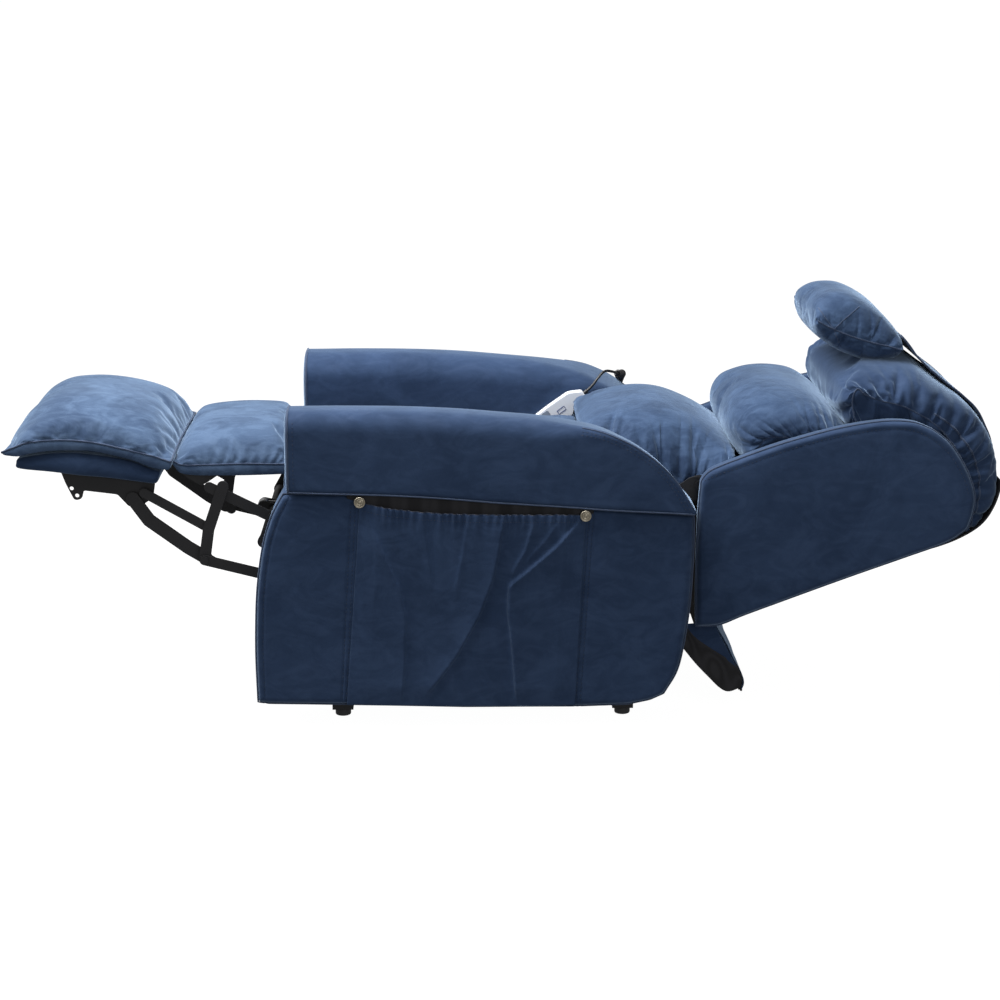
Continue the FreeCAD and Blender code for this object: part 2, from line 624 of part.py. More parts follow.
def power_supply():
    case = box(98, 184, 50, 210, RAIL_HIGH + 1, RAIL_HIGH + 44)
    case = case.makeFillet(8, [e for e in case.Edges if e.BoundBox.ZLength > 40])
    feet = [box(94, 194.5, y, y + 18, RAIL_HIGH - 3, RAIL_HIGH + 1) for y in (64, 180)]
    return case.fuse(feet).removeSplitter()


def handset_frame(shape):
    """Stand a handset piece drawn upright on its lower end in its place beside the cushion."""
    lean = math.radians(HANDSET_LEAN)
    shape.rotate(Vec(0, 0, 0), Vec(1, 0, 0), HANDSET_LEAN - 90)
    foot_y = HANDSET_TOP[0] - HANDSET_LENGTH * math.cos(lean)
    foot_z = HANDSET_TOP[1] - HANDSET_LENGTH * math.sin(lean)
    shape.translate(Vec(HANDSET_X, foot_y, foot_z))
    return shape


KEY_SPOTS = {"back_up": (-10.0, 74.0), "back_down": (-10.0, 50.0),
             "lift_up": (10.0, 74.0), "lift_down": (10.0, 50.0)}
KEY_WIDE = 14.0
KEY_TALL = 18.0


def key_block(name, x0, x1, grow):
    y, z = KEY_SPOTS[name]
    half_y = KEY_WIDE / 2 + grow
    half_z = KEY_TALL / 2 + grow
    key = box(x0, x1, y - half_y, y + half_y, z - half_z, z + half_z)
    return key.makeFillet(4, [e for e in key.Edges if e.BoundBox.XLength > abs(x1 - x0) - 0.01])


def handset():
    """Hand control: tapered shell with four key wells in the face turned to the seat."""
    half = HANDSET_THICK / 2
    shell = slab([(-21, 0, 12), (21, 0, 12), (24, 90, 60), (23, 140, 30), (9, 165, 8),
                  (-9, 165, 8), (-23, 140, 30), (-24, 90, 60)], -half, half)
    rims = [e for e in shell.Edges if e.BoundBox.XLength < 1e-6]
    shell = shell.makeFillet(4, rims)
    for name in KEY_SPOTS:
        shell = shell.cut(key_block(name, half - 4, half + 2, 0.4))
    return handset_frame(shell)


def handset_key(name):
    half = HANDSET_THICK / 2
    return handset_frame(key_block(name, half - 2.5, half + 1.2, 0))


# The cord leaves the handset's top end, crosses the right arm behind its crest as a coil
# and drops down the outside to a gland in the side panel.
LEAD = 3.0
COIL = 9.5
GLAND_Y = 330.0
GLAND_Z = 196.0
COIL_START = (-290.0, 346.0, 561.0)
LEAD_ROUTE = [(-239.5, 275.6, 528.4), (-242.0, 292.0, 541.5), (-250.0, 305.0, 559.0),
              (-264.0, 319.0, 572.0), (-274.0, 337.0, 567.5), COIL_START]
COIL_ROUTE = [COIL_START, (-306.0, 355.0, 554.5), (-330.0, 360.0, 553.0), (-356.0, 361.0, 548.0),
              (-380.0, 357.0, 530.0), (-392.0, 350.0, 500.0), (-392.0, 344.0, 460.0),
              (-391.0, 341.0, 410.0), (-391.0, 337.0, 355.0), (-391.0, 334.0, 300.0),
              (-391.0, 331.0, 262.0), (-391.5, 330.0, 232.0)]


def route_wire(points):
    """Open wire of straight runs and tangent arcs; each arc as large as its runs allow."""
    spots = [Vec(*p) for p in points]
    edges = []
    last = spots[0]
    radii = []
    for before, here, after in zip(spots, spots[1:], spots[2:]):
        back = before - here
        on = after - here
        turn = math.pi - back.getAngle(on)
        reach = 0.45 * min(back.Length, on.Length)
        radius = reach / math.tan(turn / 2)
        radii.append(round(radius, 1))
        start = here + back.normalize() * reach
        end = here + on.normalize() * reach
        inward = (back + on).normalize()
        middle = here + inward * (radius / math.cos(turn / 2) - radius)
        edges.append(Part.LineSegment(last, start).toShape())
        edges.append(Part.Arc(start, middle, end).toShape())
        last = end
    edges.append(Part.LineSegment(last, spots[-1]).toShape())
    return Part.Wire(edges), radii


def route_tube(name, points, radius):
    wire, radii = route_wire(points)
    start = Vec(*points[0])
    ahead = (Vec(*points[1]) - start).normalize()
    profile = Part.Wire([Part.makeCircle(radius, start, ahead)])
    tube = wire.makePipeShell([profile], True, True)
    expected = math.pi * radius * radius * wire.Length
    print(name, "length", round(wire.Length, 1), "radii", radii,
          "volume ratio", round(tube.Volume / expected, 4))
    return tube


def cord_gland():
    """Strain relief in the right side panel that the curled cord runs down into."""
    x = COIL_ROUTE[-1][0]
    plate = box(-PANEL_OUT - 3, -PANEL_OUT - 0.2, GLAND_Y - 16, GLAND_Y + 16, GLAND_Z - 18, GLAND_Z + 18)
    plate = plate.makeFillet(6, [e for e in plate.Edges if e.BoundBox.XLength > 2])
    barrel = Part.makeCylinder(11.5, 30, Vec(x, GLAND_Y, GLAND_Z - 4))
    neck = box(x, -PANEL_OUT - 2, GLAND_Y - 9, GLAND_Y + 9, GLAND_Z - 4, GLAND_Z + 14)
    socket = Part.makeCylinder(10.2, 8, Vec(x, GLAND_Y, GLAND_Z + 20))
    gland = plate.fuse([barrel, neck]).removeSplitter()
    return gland.cut(socket)


# ---------------------------------------------------------------- backrest
def back_frame():
    """Wooden frame between the wings: two side boards, three cross boards and wing blocks."""
    side = slab([(520, 300, 20), (1004, 372, 30), (1012, 408, 8), (520, 424, 8)], 208, 230)
    pieces = [side, mirrored(side)]
    for y0, y1, z0, z1 in ((496, 520, 312, 420), (740, 762, 350, 380), (985, 1010, 376, 404)):
        pieces.append(box(-230, 230, y0, y1, z0, z1))
    for y in (620, 900):
        block = box(229, WING_IN - 0.3, y, y + 60, 340 + (y - 620) * 0.15, 400)
        pieces += [block, mirrored(block)]
    return pieces[0].fuse(pieces[1:]).removeSplitter()


def recline_plates():
    """Two steel pivot plates and the crank of the back motor."""
    profile = [(BACK_PIVOT[0] - 18, BACK_PIVOT[1] - 18, 16), (500, 330, 20), (592, 342, 20),
               (592, 392, 20), (540, 412, 30), (BACK_PIVOT[0] + 14, BACK_PIVOT[1] + 18, 16),
               (BACK_PIVOT[0] - 16, BACK_PIVOT[1] + 18, 16)]
    plate = slab(profile, PLATE_X - 5, PLATE_X - 1)
    plate = plate.cut(pin(BACK_PIVOT, PLATE_X - 6, PLATE_X, 8 + RUNNING))
    spacer = box(230.2, PLATE_X - 4.9, 540, 586, 350, 386)
    plate = plate.fuse(spacer).removeSplitter()
    cheeks = []
    for x0 in (BACK_MOTOR_X - 20, BACK_MOTOR_X + 14):
        cheeks.append(slab([(BACK_CRANK[0] - 13, BACK_CRANK[1] - 13, 13), (BACK_CRANK[0] + 13, 309, 8),
                            (495.8, 312), (495.8, 400), (490, 400, 4), (BACK_CRANK[0] - 13, 345, 12)],
                           x0, x0 + 6))
    bridge = box(BACK_MOTOR_X - 20, BACK_MOTOR_X + 20, 491, 495.8, 345, 400)
    crank = bridge.fuse(cheeks).removeSplitter()
    return Part.makeCompound([plate, mirrored(plate), crank])


def back_springs():
    springs = []
    for x in (-150, -75, 0, 75, 150):
        spring = sinuous(x, 521, 984, 0, 8, 18, 1.9)
        spring.rotate(Vec(0, 521, 0), Vec(1, 0, 0), -1.6)
        spring.translate(Vec(0, 0, 402))
        springs.append(spring)
    return Part.makeCompound(springs)


WING_LINE = [(464, 166, 10), (510, 172, 30), (557, 194, 60), (765, 272, 200), (946, 336, 60),
             (984, 372, 40), (991, 424, 60), (958, 502, 90), (904, 558, 70), (832, 574, 60),
             (737, 562, 200), (612, 527, 200), (484, 478, 20), (468, 460, 12), (464, 300, 400)]


def back_wing():
    """Left wing of the backrest."""
    return pad(WING_LINE, WING_IN, WING_OUT, 7)


REAR_LINE = [(484.0, 170.0), (508.0, 172.0), (620.0, 208.0), (766.0, 262.0), (930.0, 290.0),
             (1012.0, 300.0), (1052.0, 340.0), (1066.0, 392.0), (1062.0, 440.0)]


def back_panel():
    """Rear cover of the backrest, curved up round its top end."""
    return slab(strip_points(REAR_LINE, 10), -(WING_IN - 1), WING_IN - 1)


def lumbar_pillow():
    profile = [(250, 522, 14), (246, 556, 30), (299, 584, 40), (366, 590, 60), (425, 582, 60),
               (487, 552, 50), (540, 502, 20), (563, 458, 8), (520, 446, 10), (468, 462, 30),
               (400, 494, 60), (356, 503, 40)]
    return pad(profile, -224, 224, 16)


def middle_pillow():
    profile = [(548, 502, 16), (519, 558, 24), (552, 606, 34), (622, 622, 60), (690, 608, 50),
               (730, 576, 40), (778, 505, 16), (770, 478, 14), (586, 456, 14)]
    return pad(profile, -BACK_HALF, BACK_HALF, 18)


def head_cushion():
    profile = [(786, 506, 16), (708, 612, 24), (722, 664, 16), (800, 650, 80), (878, 652, 60),
               (958, 624, 80), (1030, 560, 80), (1054, 480, 60), (1050, 430, 16), (980, 420, 20),
               (800, 476, 12)]
    return pad(profile, -BACK_HALF, BACK_HALF, 18)


def head_pillow():
    """Separate neck roll, flattened, with a straight rear edge that joins its flap."""
    profile = [(668, 752, 14), (676, 785, 20), (714, 810, 24), (768, 807, 40), (806, 785, 40),
               (850, 729, 50), (876, 700, 8), (874, 672, 10), (807, 659, 40), (757, 672, 40),
               (728, 688, 30), (690, 716, 30)]
    return pad(profile, -150, 150, 14)


FLAP_LINE = [(1080.0, 396.0), (1077.0, 470.0), (1050.0, 556.0), (992.0, 606.0), (930.0, 657.0),
             (878.5, 700.0)]


def head_flap():
    """Wide strap that runs from the neck roll over the top of the back and down behind it."""
    return slab(strip_points(FLAP_LINE, 4), -140, 140)


SKIRT_LINE = [(556.0, 30.0), (561.0, 48.0), (540.0, 92.0), (507.0, 157.0)]


def rear_skirt():
    """Fabric flap that hangs from the lower edge of the backrest, with a turned-in side each end."""
    sheet = slab(strip_points(SKIRT_LINE, 4), -262, 262)
    side = [(454, 136, 4), (498, 156, 3), (540, 92), (559, 48, 6), (554, 26, 6), (519, 44, 20), (452, 100, 6)]
    skirt = sheet
    for x0 in (-266, 262):
        skirt = skirt.fuse(slab(side, x0, x0 + 4))
    return skirt.removeSplitter()


# ---------------------------------------------------------------- write every node
def main():
    write("base_frame", base_frame())
    write("base_feet", base_feet())
    write("front_links", front_links())
    write("rear_lift_arms", rear_lift_arms())
    write("lift_motor", motor_housing(LIFT_HEEL, LIFT_CRANK, LIFT_MOTOR_X, 372, 1))
    write("lift_rod", motor_rod(LIFT_HEEL, LIFT_CRANK, LIFT_MOTOR_X, 192))
    write("chassis_frame", chassis_frame())
    write_pair("seat_plate", seat_plate())
    write("seat_box", seat_box())
    write("seat_springs", seat_springs())
    write("seat_cushion", seat_cushion())
    write_pair("side_panel", side_panel())
    write("arm_frames", arm_frames())
    write_pair("arm_pad", arm_pad())
    write_pair("side_pocket", side_pocket())
    write("pocket_snaps", pocket_snaps())
    write("control_box", control_box())
    write("power_supply", power_supply())
    write("handset", handset())
    for name in KEY_SPOTS:
        write("key_" + name, handset_key(name))
    write("handset_lead", route_tube("handset_lead", LEAD_ROUTE, LEAD))
    write("handset_coil", route_tube("handset_coil", COIL_ROUTE, COIL))
    write("cord_gland", cord_gland())
    write_pair("upper_link", upper_link())
    write("drive_tube", drive_tube())
    write("lower_links", lower_links())
    write("cross_links", cross_links())
    write_pair("gooseneck", gooseneck())
    write("second_links", second_links())
    write("footrest_brackets", both(footrest_bracket()))
    write("footrest_springs", footrest_springs())
    write("footrest_board", footrest_board())
    write("footrest_pillow", footrest_pillow())
    write("calf_board", calf_board())
    write("calf_pillow", calf_pillow())
    write("legrest_motor", motor_housing(LEG_HEEL, LEG_CRANK, LEG_MOTOR_X, 400, 1))
    write("legrest_rod", motor_rod(LEG_HEEL, LEG_CRANK, LEG_MOTOR_X, 330))
    write("back_motor", motor_housing(BACK_HEEL, BACK_CRANK, BACK_MOTOR_X, 500, -1))
    write("back_rod", motor_rod(BACK_HEEL, BACK_CRANK, BACK_MOTOR_X, 380))
    write("back_frame", back_frame())
    write("recline_plates", recline_plates())
    write("back_springs", back_springs())
    write_pair("back_wing", back_wing())
    write("back_panel", back_panel())
    write("lumbar_pillow", lumbar_pillow())
    write("middle_pillow", middle_pillow())
    write("head_cushion", head_cushion())
    write("head_pillow", head_pillow())
    write("head_flap", head_flap())
    write("rear_skirt", rear_skirt())

    cord = ("handset_lead", "handset_coil", "cord_gland")
    extent = FreeCAD.BoundBox()
    for name, piece in written.items():
        if name not in cord:
            extent.add(piece.BoundBox)
    print("nodes", len(written))
    print("x %.1f %.1f  y %.1f %.1f  z %.1f %.1f" % (extent.XMin, extent.XMax, extent.YMin,
                                                    extent.YMax, extent.ZMin, extent.ZMax))


main()
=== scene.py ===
import json
import math
import bpy
import bmesh
import numpy as np
from mathutils import Matrix, Vector, noise
from mathutils.bvhtree import BVHTree


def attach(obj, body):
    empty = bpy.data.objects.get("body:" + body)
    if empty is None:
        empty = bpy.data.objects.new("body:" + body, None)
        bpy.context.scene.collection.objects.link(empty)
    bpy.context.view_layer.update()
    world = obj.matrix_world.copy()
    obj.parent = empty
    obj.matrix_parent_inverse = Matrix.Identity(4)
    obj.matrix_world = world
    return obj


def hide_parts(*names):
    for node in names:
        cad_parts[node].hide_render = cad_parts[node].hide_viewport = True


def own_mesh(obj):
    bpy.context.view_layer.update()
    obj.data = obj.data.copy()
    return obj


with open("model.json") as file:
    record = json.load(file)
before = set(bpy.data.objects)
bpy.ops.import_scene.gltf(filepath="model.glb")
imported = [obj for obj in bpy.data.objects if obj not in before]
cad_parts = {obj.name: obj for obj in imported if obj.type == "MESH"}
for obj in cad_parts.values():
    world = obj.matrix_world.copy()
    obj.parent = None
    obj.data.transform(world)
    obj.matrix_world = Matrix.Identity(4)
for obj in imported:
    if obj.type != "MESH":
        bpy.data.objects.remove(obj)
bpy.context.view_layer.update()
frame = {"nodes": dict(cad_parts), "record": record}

# Profiles are (y, z) in millimetres from a datum inside the seat. CENTRE_Y moves them to the frame.
CENTRE_Y = 110.2
scene = bpy.context.scene
scene.view_settings.view_transform = "Standard"


SIDES = (("left", 1), ("right", -1))


def spot(x, y, z):
    return (x * 0.001, (y - CENTRE_Y) * 0.001, z * 0.001)


def yz(text):
    """The (y, z) points written as "y,z y,z"."""
    return [tuple(float(value) for value in pair.split(",")) for pair in text.split()]


def placed(name, data):
    """A new object for the data, linked to the scene."""
    obj = bpy.data.objects.new(name, data)
    scene.collection.objects.link(obj)
    return obj


# ---------------- camera
camera = placed("camera", bpy.data.cameras.new("camera"))
camera.data.lens = 88.85
camera.data.clip_end = 400
right = (0.01972705, 0.9998054, 0.0)
up = (-0.2268611, 0.00447617, 0.97391684)
back = (0.97372731, -0.01921251, 0.22690526)
place = Matrix([[right[k], up[k], back[k], 0.0] for k in range(3)] + [[0, 0, 0, 1]])
place.translation = (4.8230, -0.1102, 1.4796)
camera.matrix_world = place
scene.camera = camera


# ---------------- materials
class Nodes:
    """A material's node tree, written as short calls."""

    def __init__(self, name):
        self.material = bpy.data.materials.new(name)
        self.material.use_nodes = True
        self.tree = self.material.node_tree
        self.tree.nodes.clear()
        self.shader = self.add("ShaderNodeBsdfPrincipled")
        self.link(self.shader.outputs[0], self.add("ShaderNodeOutputMaterial").inputs[0])
        self.place = self.add("ShaderNodeTexCoord").outputs["Object"]

    def add(self, kind, inputs=None, **values):
        node = self.tree.nodes.new(kind)
        for key, value in values.items():
            setattr(node, key, value)
        for key, value in (inputs or {}).items():
            node.inputs[key].default_value = value
        return node

    def link(self, a, b):
        self.tree.links.new(a, b)

    def noise(self, scale, detail=3.0, rough=0.55, distortion=0.0, stretch=(1, 1, 1)):
        mapping = self.add("ShaderNodeMapping", {"Scale": stretch})
        self.link(self.place, mapping.inputs[0])
        node = self.add("ShaderNodeTexNoise", {"Scale": scale, "Detail": detail, "Roughness": rough,
                                               "Distortion": distortion})
        self.link(mapping.outputs[0], node.inputs["Vector"])
        return node.outputs[0]

    def ramp(self, value, stops):
        node = self.add("ShaderNodeValToRGB")
        band = node.color_ramp
        while len(band.elements) < len(stops):
            band.elements.new(0.5)
        for element, (at, colour) in zip(band.elements, stops):
            element.position = at
            element.color = (*colour, 1.0)
        self.link(value, node.inputs[0])
        return node.outputs[0]

    def mix(self, share, a, b, kind="MIX"):
        node = self.add("ShaderNodeMix", data_type="RGBA", blend_type=kind)
        for value, socket in ((share, node.inputs[0]), (a, node.inputs[6]), (b, node.inputs[7])):
            if isinstance(value, bpy.types.NodeSocket):
                self.link(value, socket)
            elif isinstance(value, tuple):
                socket.default_value = (*value, 1.0)
            else:
                socket.default_value = value
        return node.outputs[2]

    def span(self, value, low, high):
        node = self.add("ShaderNodeMapRange", {"To Min": low, "To Max": high})
        self.link(value, node.inputs[0])
        return node.outputs[0]

    def bump(self, height, strength, distance, below=None):
        node = self.add("ShaderNodeBump", {"Strength": strength, "Distance": distance})
        self.link(height, node.inputs["Height"])
        if below is not None:
            self.link(below, node.inputs["Normal"])
        return node.outputs[0]

    def finish(self, colour, rough, normal, **sockets):
        for value, name in ((colour, "Base Color"), (rough, "Roughness"), (normal, "Normal")):
            if isinstance(value, bpy.types.NodeSocket):
                self.link(value, self.shader.inputs[name])
            elif value is not None:
                self.shader.inputs[name].default_value = value
        for name, value in sockets.items():
            self.shader.inputs[name.replace("_", " ")].default_value = value
        return self.material


def suede(name, dark, light, patches, nap=1.0):
    """Brushed micro-suede: soft light and dark nap patches, faint streaks and a fine pile."""
    n = Nodes(name)
    patch = n.ramp(n.noise(6.0, 4, 0.6, 1.4), [(0.40, (0, 0, 0)), (0.60, (1, 1, 1))])
    small = n.ramp(n.noise(23.0, 3, 0.6, 2.2, (1, 0.5, 1)), [(0.42, (0, 0, 0)), (0.64, (1, 1, 1))])
    pile = n.noise(900.0, 2)
    shade = n.mix(0.42, patch, small)
    base = n.mix(n.span(shade, 0.5 - patches, 0.5 + patches), dark, light)
    base = n.mix(n.span(pile, 0.0, 0.22), base, tuple(c * 1.7 for c in light))
    wrinkle = n.bump(n.noise(38.0, 5, 0.62, 0.8), 0.22 * nap, 0.004)
    normal = n.bump(pile, 0.35, 0.0004, wrinkle)
    return n.finish(base, n.span(small, 0.86, 0.74), normal, Sheen_Weight=0.6, Sheen_Roughness=0.38,
                    Sheen_Tint=(0.55, 0.74, 1.0, 1.0), Specular_IOR_Level=0.12)


def finish_of(name, colour, vary, rough, grain, depth, **sockets):
    """Paint, plastic, rubber or bare metal: slight mottling, uneven gloss and a fine surface grain."""
    n = Nodes(name)
    mottle = n.noise(14.0, 5, 0.6, 0.5)
    fine = n.noise(grain, 3)
    dark = tuple(c * (1 - vary) for c in colour)
    light = tuple(min(c * (1 + vary), 1) for c in colour)
    base = n.mix(n.span(mottle, 0.0, 1.0), dark, light)
    wear = n.span(n.mix(0.5, mottle, fine), rough[0], rough[1])
    return n.finish(base, wear, n.bump(fine, 0.3, depth), **sockets)


def sawn_wood(name):
    n = Nodes(name)
    grain = n.noise(7.0, 6, 0.7, 2.5, (6.0, 0.5, 6.0))
    pores = n.noise(240.0, 3, 0.6, 0.0, (1.0, 0.08, 1.0))
    base = n.ramp(grain, [(0.30, (0.30, 0.18, 0.09)), (0.50, (0.52, 0.37, 0.21)), (0.72, (0.66, 0.50, 0.31))])
    base = n.mix(n.span(pores, 0.0, 0.35), base, (0.26, 0.16, 0.08))
    return n.finish(base, n.span(pores, 0.62, 0.85), n.bump(pores, 0.35, 0.0006))


def lining(name):
    """Matt black woven lining."""
    n = Nodes(name)
    warp, weft = [n.add("ShaderNodeTexWave", {"Scale": 260.0, "Distortion": 0.6}, bands_direction=axis)
                  for axis in "XY"]
    for wave in (warp, weft):
        n.link(n.place, wave.inputs[0])
    weave = n.mix(0.5, warp.outputs[0], weft.outputs[0], "MULTIPLY")
    base = n.mix(weave, (0.006, 0.006, 0.008), (0.020, 0.020, 0.024))
    slack = n.bump(n.noise(12.0, 3), 0.3, 0.004)
    return n.finish(base, n.span(n.noise(30.0), 0.75, 0.92), n.bump(weave, 0.4, 0.0005, slack))


SUEDE = suede("blue_suede", (0.012, 0.025, 0.058), (0.026, 0.048, 0.102), 0.42)
# Lighter copy of the suede for the loose pillows (all but the head cushion) and the neck flap: its lighter colour is
# painted light, for up-facing tops lit from above; its stronger patches and deeper wrinkles are the suede's own.
SUEDE_PAINTED_LIT_TOP = suede("blue_suede_painted_lit_top", (0.012, 0.025, 0.058), (0.038, 0.068, 0.132), 0.60, 2.0)
# Lighter copy of the suede for the foot and calf pillows: its lighter colours are painted light, for their tops in the
# overhead and front light.
SUEDE_PAINTED_LIT_LEG = suede("blue_suede_painted_lit_leg", (0.018, 0.034, 0.072), (0.056, 0.092, 0.160), 0.60, 1.6)
WELT = finish_of("welt", (0.020, 0.036, 0.078), 0.25, (0.74, 0.9), 700.0, 0.0003, Sheen_Weight=0.25,
                 Sheen_Tint=(0.6, 0.76, 1, 1))
THREAD = finish_of("thread", (0.010, 0.018, 0.040), 0.2, (0.45, 0.65), 1500.0, 0.0002)
LINING = lining("black_lining")
SLOTS = {"blue_suede": SUEDE, "black_lining": LINING, "plywood": sawn_wood("plywood")}
# Each finish: colour, variation, roughness range, grain scale, grain depth in metres, other sockets.
FINISHES = {
    "spring_wire": ((0.42, 0.42, 0.43), 0.15, (0.22, 0.42), 500.0, 0.0002, {"Metallic": 1.0}),
    "antique_nickel": ((0.42, 0.38, 0.30), 0.35, (0.26, 0.5), 420.0, 0.0002, {"Metallic": 1.0}),
    "black_plastic": ((0.016, 0.016, 0.018), 0.2, (0.42, 0.6), 620.0, 0.0003, {}),
    "motor_plastic": ((0.022, 0.022, 0.026), 0.2, (0.35, 0.55), 480.0, 0.0004, {}),
    "bright_rod": ((0.62, 0.62, 0.64), 0.06, (0.12, 0.24), 900.0, 0.0001, {"Metallic": 1.0}),
    "white_plastic": ((0.80, 0.82, 0.86), 0.03, (0.24, 0.34), 900.0, 0.0001, {"Coat_Weight": 0.3}),
    "grey_key": ((0.22, 0.26, 0.33), 0.1, (0.5, 0.65), 700.0, 0.0002, {}),
    "cord_rubber": ((0.010, 0.010, 0.011), 0.2, (0.30, 0.48), 500.0, 0.0002, {}),
    "black_board": ((0.014, 0.014, 0.016), 0.25, (0.45, 0.7), 160.0, 0.0005, {}),
    "black_steel": ((0.018, 0.018, 0.020), 0.3, (0.34, 0.62), 260.0, 0.0003, {"Metallic": 0.35}),
}
for name, (*values, sockets) in FINISHES.items():
    SLOTS[name] = finish_of(name, *values, **sockets)

for part in frame["record"]["subparts"]:
    node = frame["nodes"][part["node"]]
    if not node.material_slots:
        node.data.materials.append(None)
    for holder in node.material_slots:
        holder.link = "OBJECT"
        holder.material = SLOTS[part["material_slot"]]


# ---------------- mesh helpers
def run_along(line):
    """The distance along a line to each of its points."""
    return np.r_[0, np.cumsum(np.linalg.norm(np.diff(line, axis=0), axis=1))]


def unit(rows):
    return rows / np.linalg.norm(rows, axis=1)[:, None]


def at_run(run, line, at):
    """The point of a line at a distance along it."""
    return np.array([np.interp(at, run, line[:, k]) for k in range(line.shape[1])])


def smooth_line(points, count):
    """A smooth line through the points, as evenly spaced points."""
    p = np.array(points, float)
    q = np.vstack([2 * p[0] - p[1], p, 2 * p[-1] - p[-2]])
    t = np.linspace(0, 1, 24, endpoint=False)[:, None]
    spans = []
    for a, b, c, d in zip(q, q[1:], q[2:], q[3:]):
        spans.append(0.5 * (2 * b + (c - a) * t + (2 * a - 5 * b + 4 * c - d) * t**2 + (3 * b - a - 3 * c + d) * t**3))
    dense = np.vstack(spans + [p[-1:]])
    run = run_along(dense)
    return at_run(run, dense, np.linspace(0, run[-1], count)).T


def weld(points, faces):
    """Joins points that coincide. Returns the points, the faces left and where each old point went."""
    _, first, went = np.unique(np.round(points / 0.02).astype(np.int64), axis=0, return_index=True, return_inverse=True)
    went = went.ravel()
    left = []
    for face in faces:
        ring = []
        for i in face:
            if not ring or int(went[i]) != ring[-1]:
                ring.append(int(went[i]))
        if len(ring) > 1 and ring[0] == ring[-1]:
            ring.pop()
        if len(set(ring)) == len(ring) >= 3:
            left.append(ring)
    return points[first], left, went


def make(name, points, faces, body, material, smooth=True):
    """A mesh object from millimetre points, with its faces turned outwards, riding on a body."""
    mesh = bpy.data.meshes.new(name)
    mesh.from_pydata([spot(*p) for p in points], [], faces)
    work = bmesh.new()
    work.from_mesh(mesh)
    bmesh.ops.recalc_face_normals(work, faces=work.faces)
    work.to_mesh(mesh)
    work.free()
    mesh.polygons.foreach_set("use_smooth", [smooth] * len(mesh.polygons))
    mesh.materials.append(material)
    obj = placed(name, mesh)
    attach(obj, body)
    return obj


def rows_of(items, key):
    """A property of three numbers, read from every item of a mesh."""
    data = np.empty(len(items) * 3)
    items.foreach_get(key, data)
    return data.reshape(-1, 3)


def points_of(obj):
    return rows_of(obj.data.vertices, "co")


def set_points(obj, points):
    obj.data.vertices.foreach_set("co", points.ravel())
    obj.data.update()


def soften(obj, amount, size, seed):
    """Uneven filling: a slow swell along the surface, in millimetres."""
    points, normals = points_of(obj), rows_of(obj.data.vertex_normals, "vector")
    shift = Vector((seed * 7.3, seed * 3.1, seed * 1.7))
    swell = np.array([noise.noise(Vector(p) * (1000.0 / size) + shift) for p in points])
    set_points(obj, points + normals * (swell * amount * 0.001)[:, None])


PRESSURE = 4.0
FRAMES = 20


def inflate(obj, pins, grow, cap):
    """Cloth simulation: the cover is cut larger than its seams by grow, held at the pins and filled.
    No point ends further than cap millimetres from where it began."""
    start = points_of(obj)
    group = obj.vertex_groups.new(name="seams")
    group.add([int(i) for i in pins], 1.0, "REPLACE")
    cloth = obj.modifiers.new("cover", "CLOTH")
    for key, value in dict(
            quality=4, mass=0.3, tension_stiffness=15, compression_stiffness=15, shear_stiffness=5,
            bending_stiffness=0.15, use_pressure=True, uniform_pressure_force=PRESSURE, shrink_min=-grow,
            vertex_group_mass=group.name).items():
        setattr(cloth.settings, key, value)
    cloth.settings.effector_weights.gravity = 0.0
    cloth.collision_settings.use_collision = False
    cloth.collision_settings.use_self_collision = False
    cloth.point_cache.frame_start = 1
    cloth.point_cache.frame_end = FRAMES
    for number in range(1, FRAMES + 1):
        scene.frame_set(number)
    shape = obj.evaluated_get(bpy.context.evaluated_depsgraph_get()).data
    moved = rows_of(shape.vertices, "co") - start
    size = np.linalg.norm(moved, axis=1)
    share = np.minimum(1.0, cap * 0.001 / np.maximum(size, 1e-9))
    obj.modifiers.remove(cloth)
    obj.vertex_groups.remove(group)
    set_points(obj, start + moved * share[:, None])
    scene.frame_set(1)


def subdivide(obj):
    made = obj.modifiers.new("subdivision", "SUBSURF")
    made.levels = made.render_levels = 1


def thicken(obj, thickness, offset=-1.0):
    made = obj.modifiers.new("thickness", "SOLIDIFY")
    made.thickness, made.offset = thickness, offset


def ring_faces(rings, sides, first=0, closed=False, capped=True):
    """The faces of a pipe whose rings of points follow each other from first on."""
    faces = []
    for i in range(rings if closed else rings - 1):
        a, b = first + i * sides, first + (i + 1) % rings * sides
        for k in range(sides):
            n = (k + 1) % sides
            faces.append((a + k, a + n, b + n, b + k))
    if capped and not closed:
        for start in (first, first + (rings - 1) * sides):
            faces.append(tuple(range(start, start + sides)))
    return faces


def band_faces(loops):
    """The faces between closed loops of the same number of points."""
    count = len(loops[0])
    return [(p[k], p[(k + 1) % count], q[(k + 1) % count], q[k])
            for p, q in zip(loops, loops[1:]) for k in range(count)]


def tube(name, line, radius, body, material=WELT, sides=8, closed=False):
    """A round welt or wire along frame points in metres."""
    line = np.array(line, float)
    ahead = unit(np.roll(line, -1, 0) - np.roll(line, 1, 0) if closed else np.gradient(line, axis=0))
    side = np.cross(ahead[0], (0, 0, 1.0) if abs(ahead[0][2]) < 0.9 else (1.0, 0, 0))
    rings = []
    for point, forward in zip(line, ahead):
        side = side - forward * side.dot(forward)
        side /= np.linalg.norm(side)
        other = np.cross(forward, side)
        turn = np.arange(sides) * 2 * math.pi / sides
        rings.append(point + radius * 0.001 * (np.cos(turn)[:, None] * side + np.sin(turn)[:, None] * other))
    back_to_mm = np.vstack(rings) * 1000 + np.array([0, CENTRE_Y, 0])
    return make(name, back_to_mm, ring_faces(len(line), sides, closed=closed), body, material)


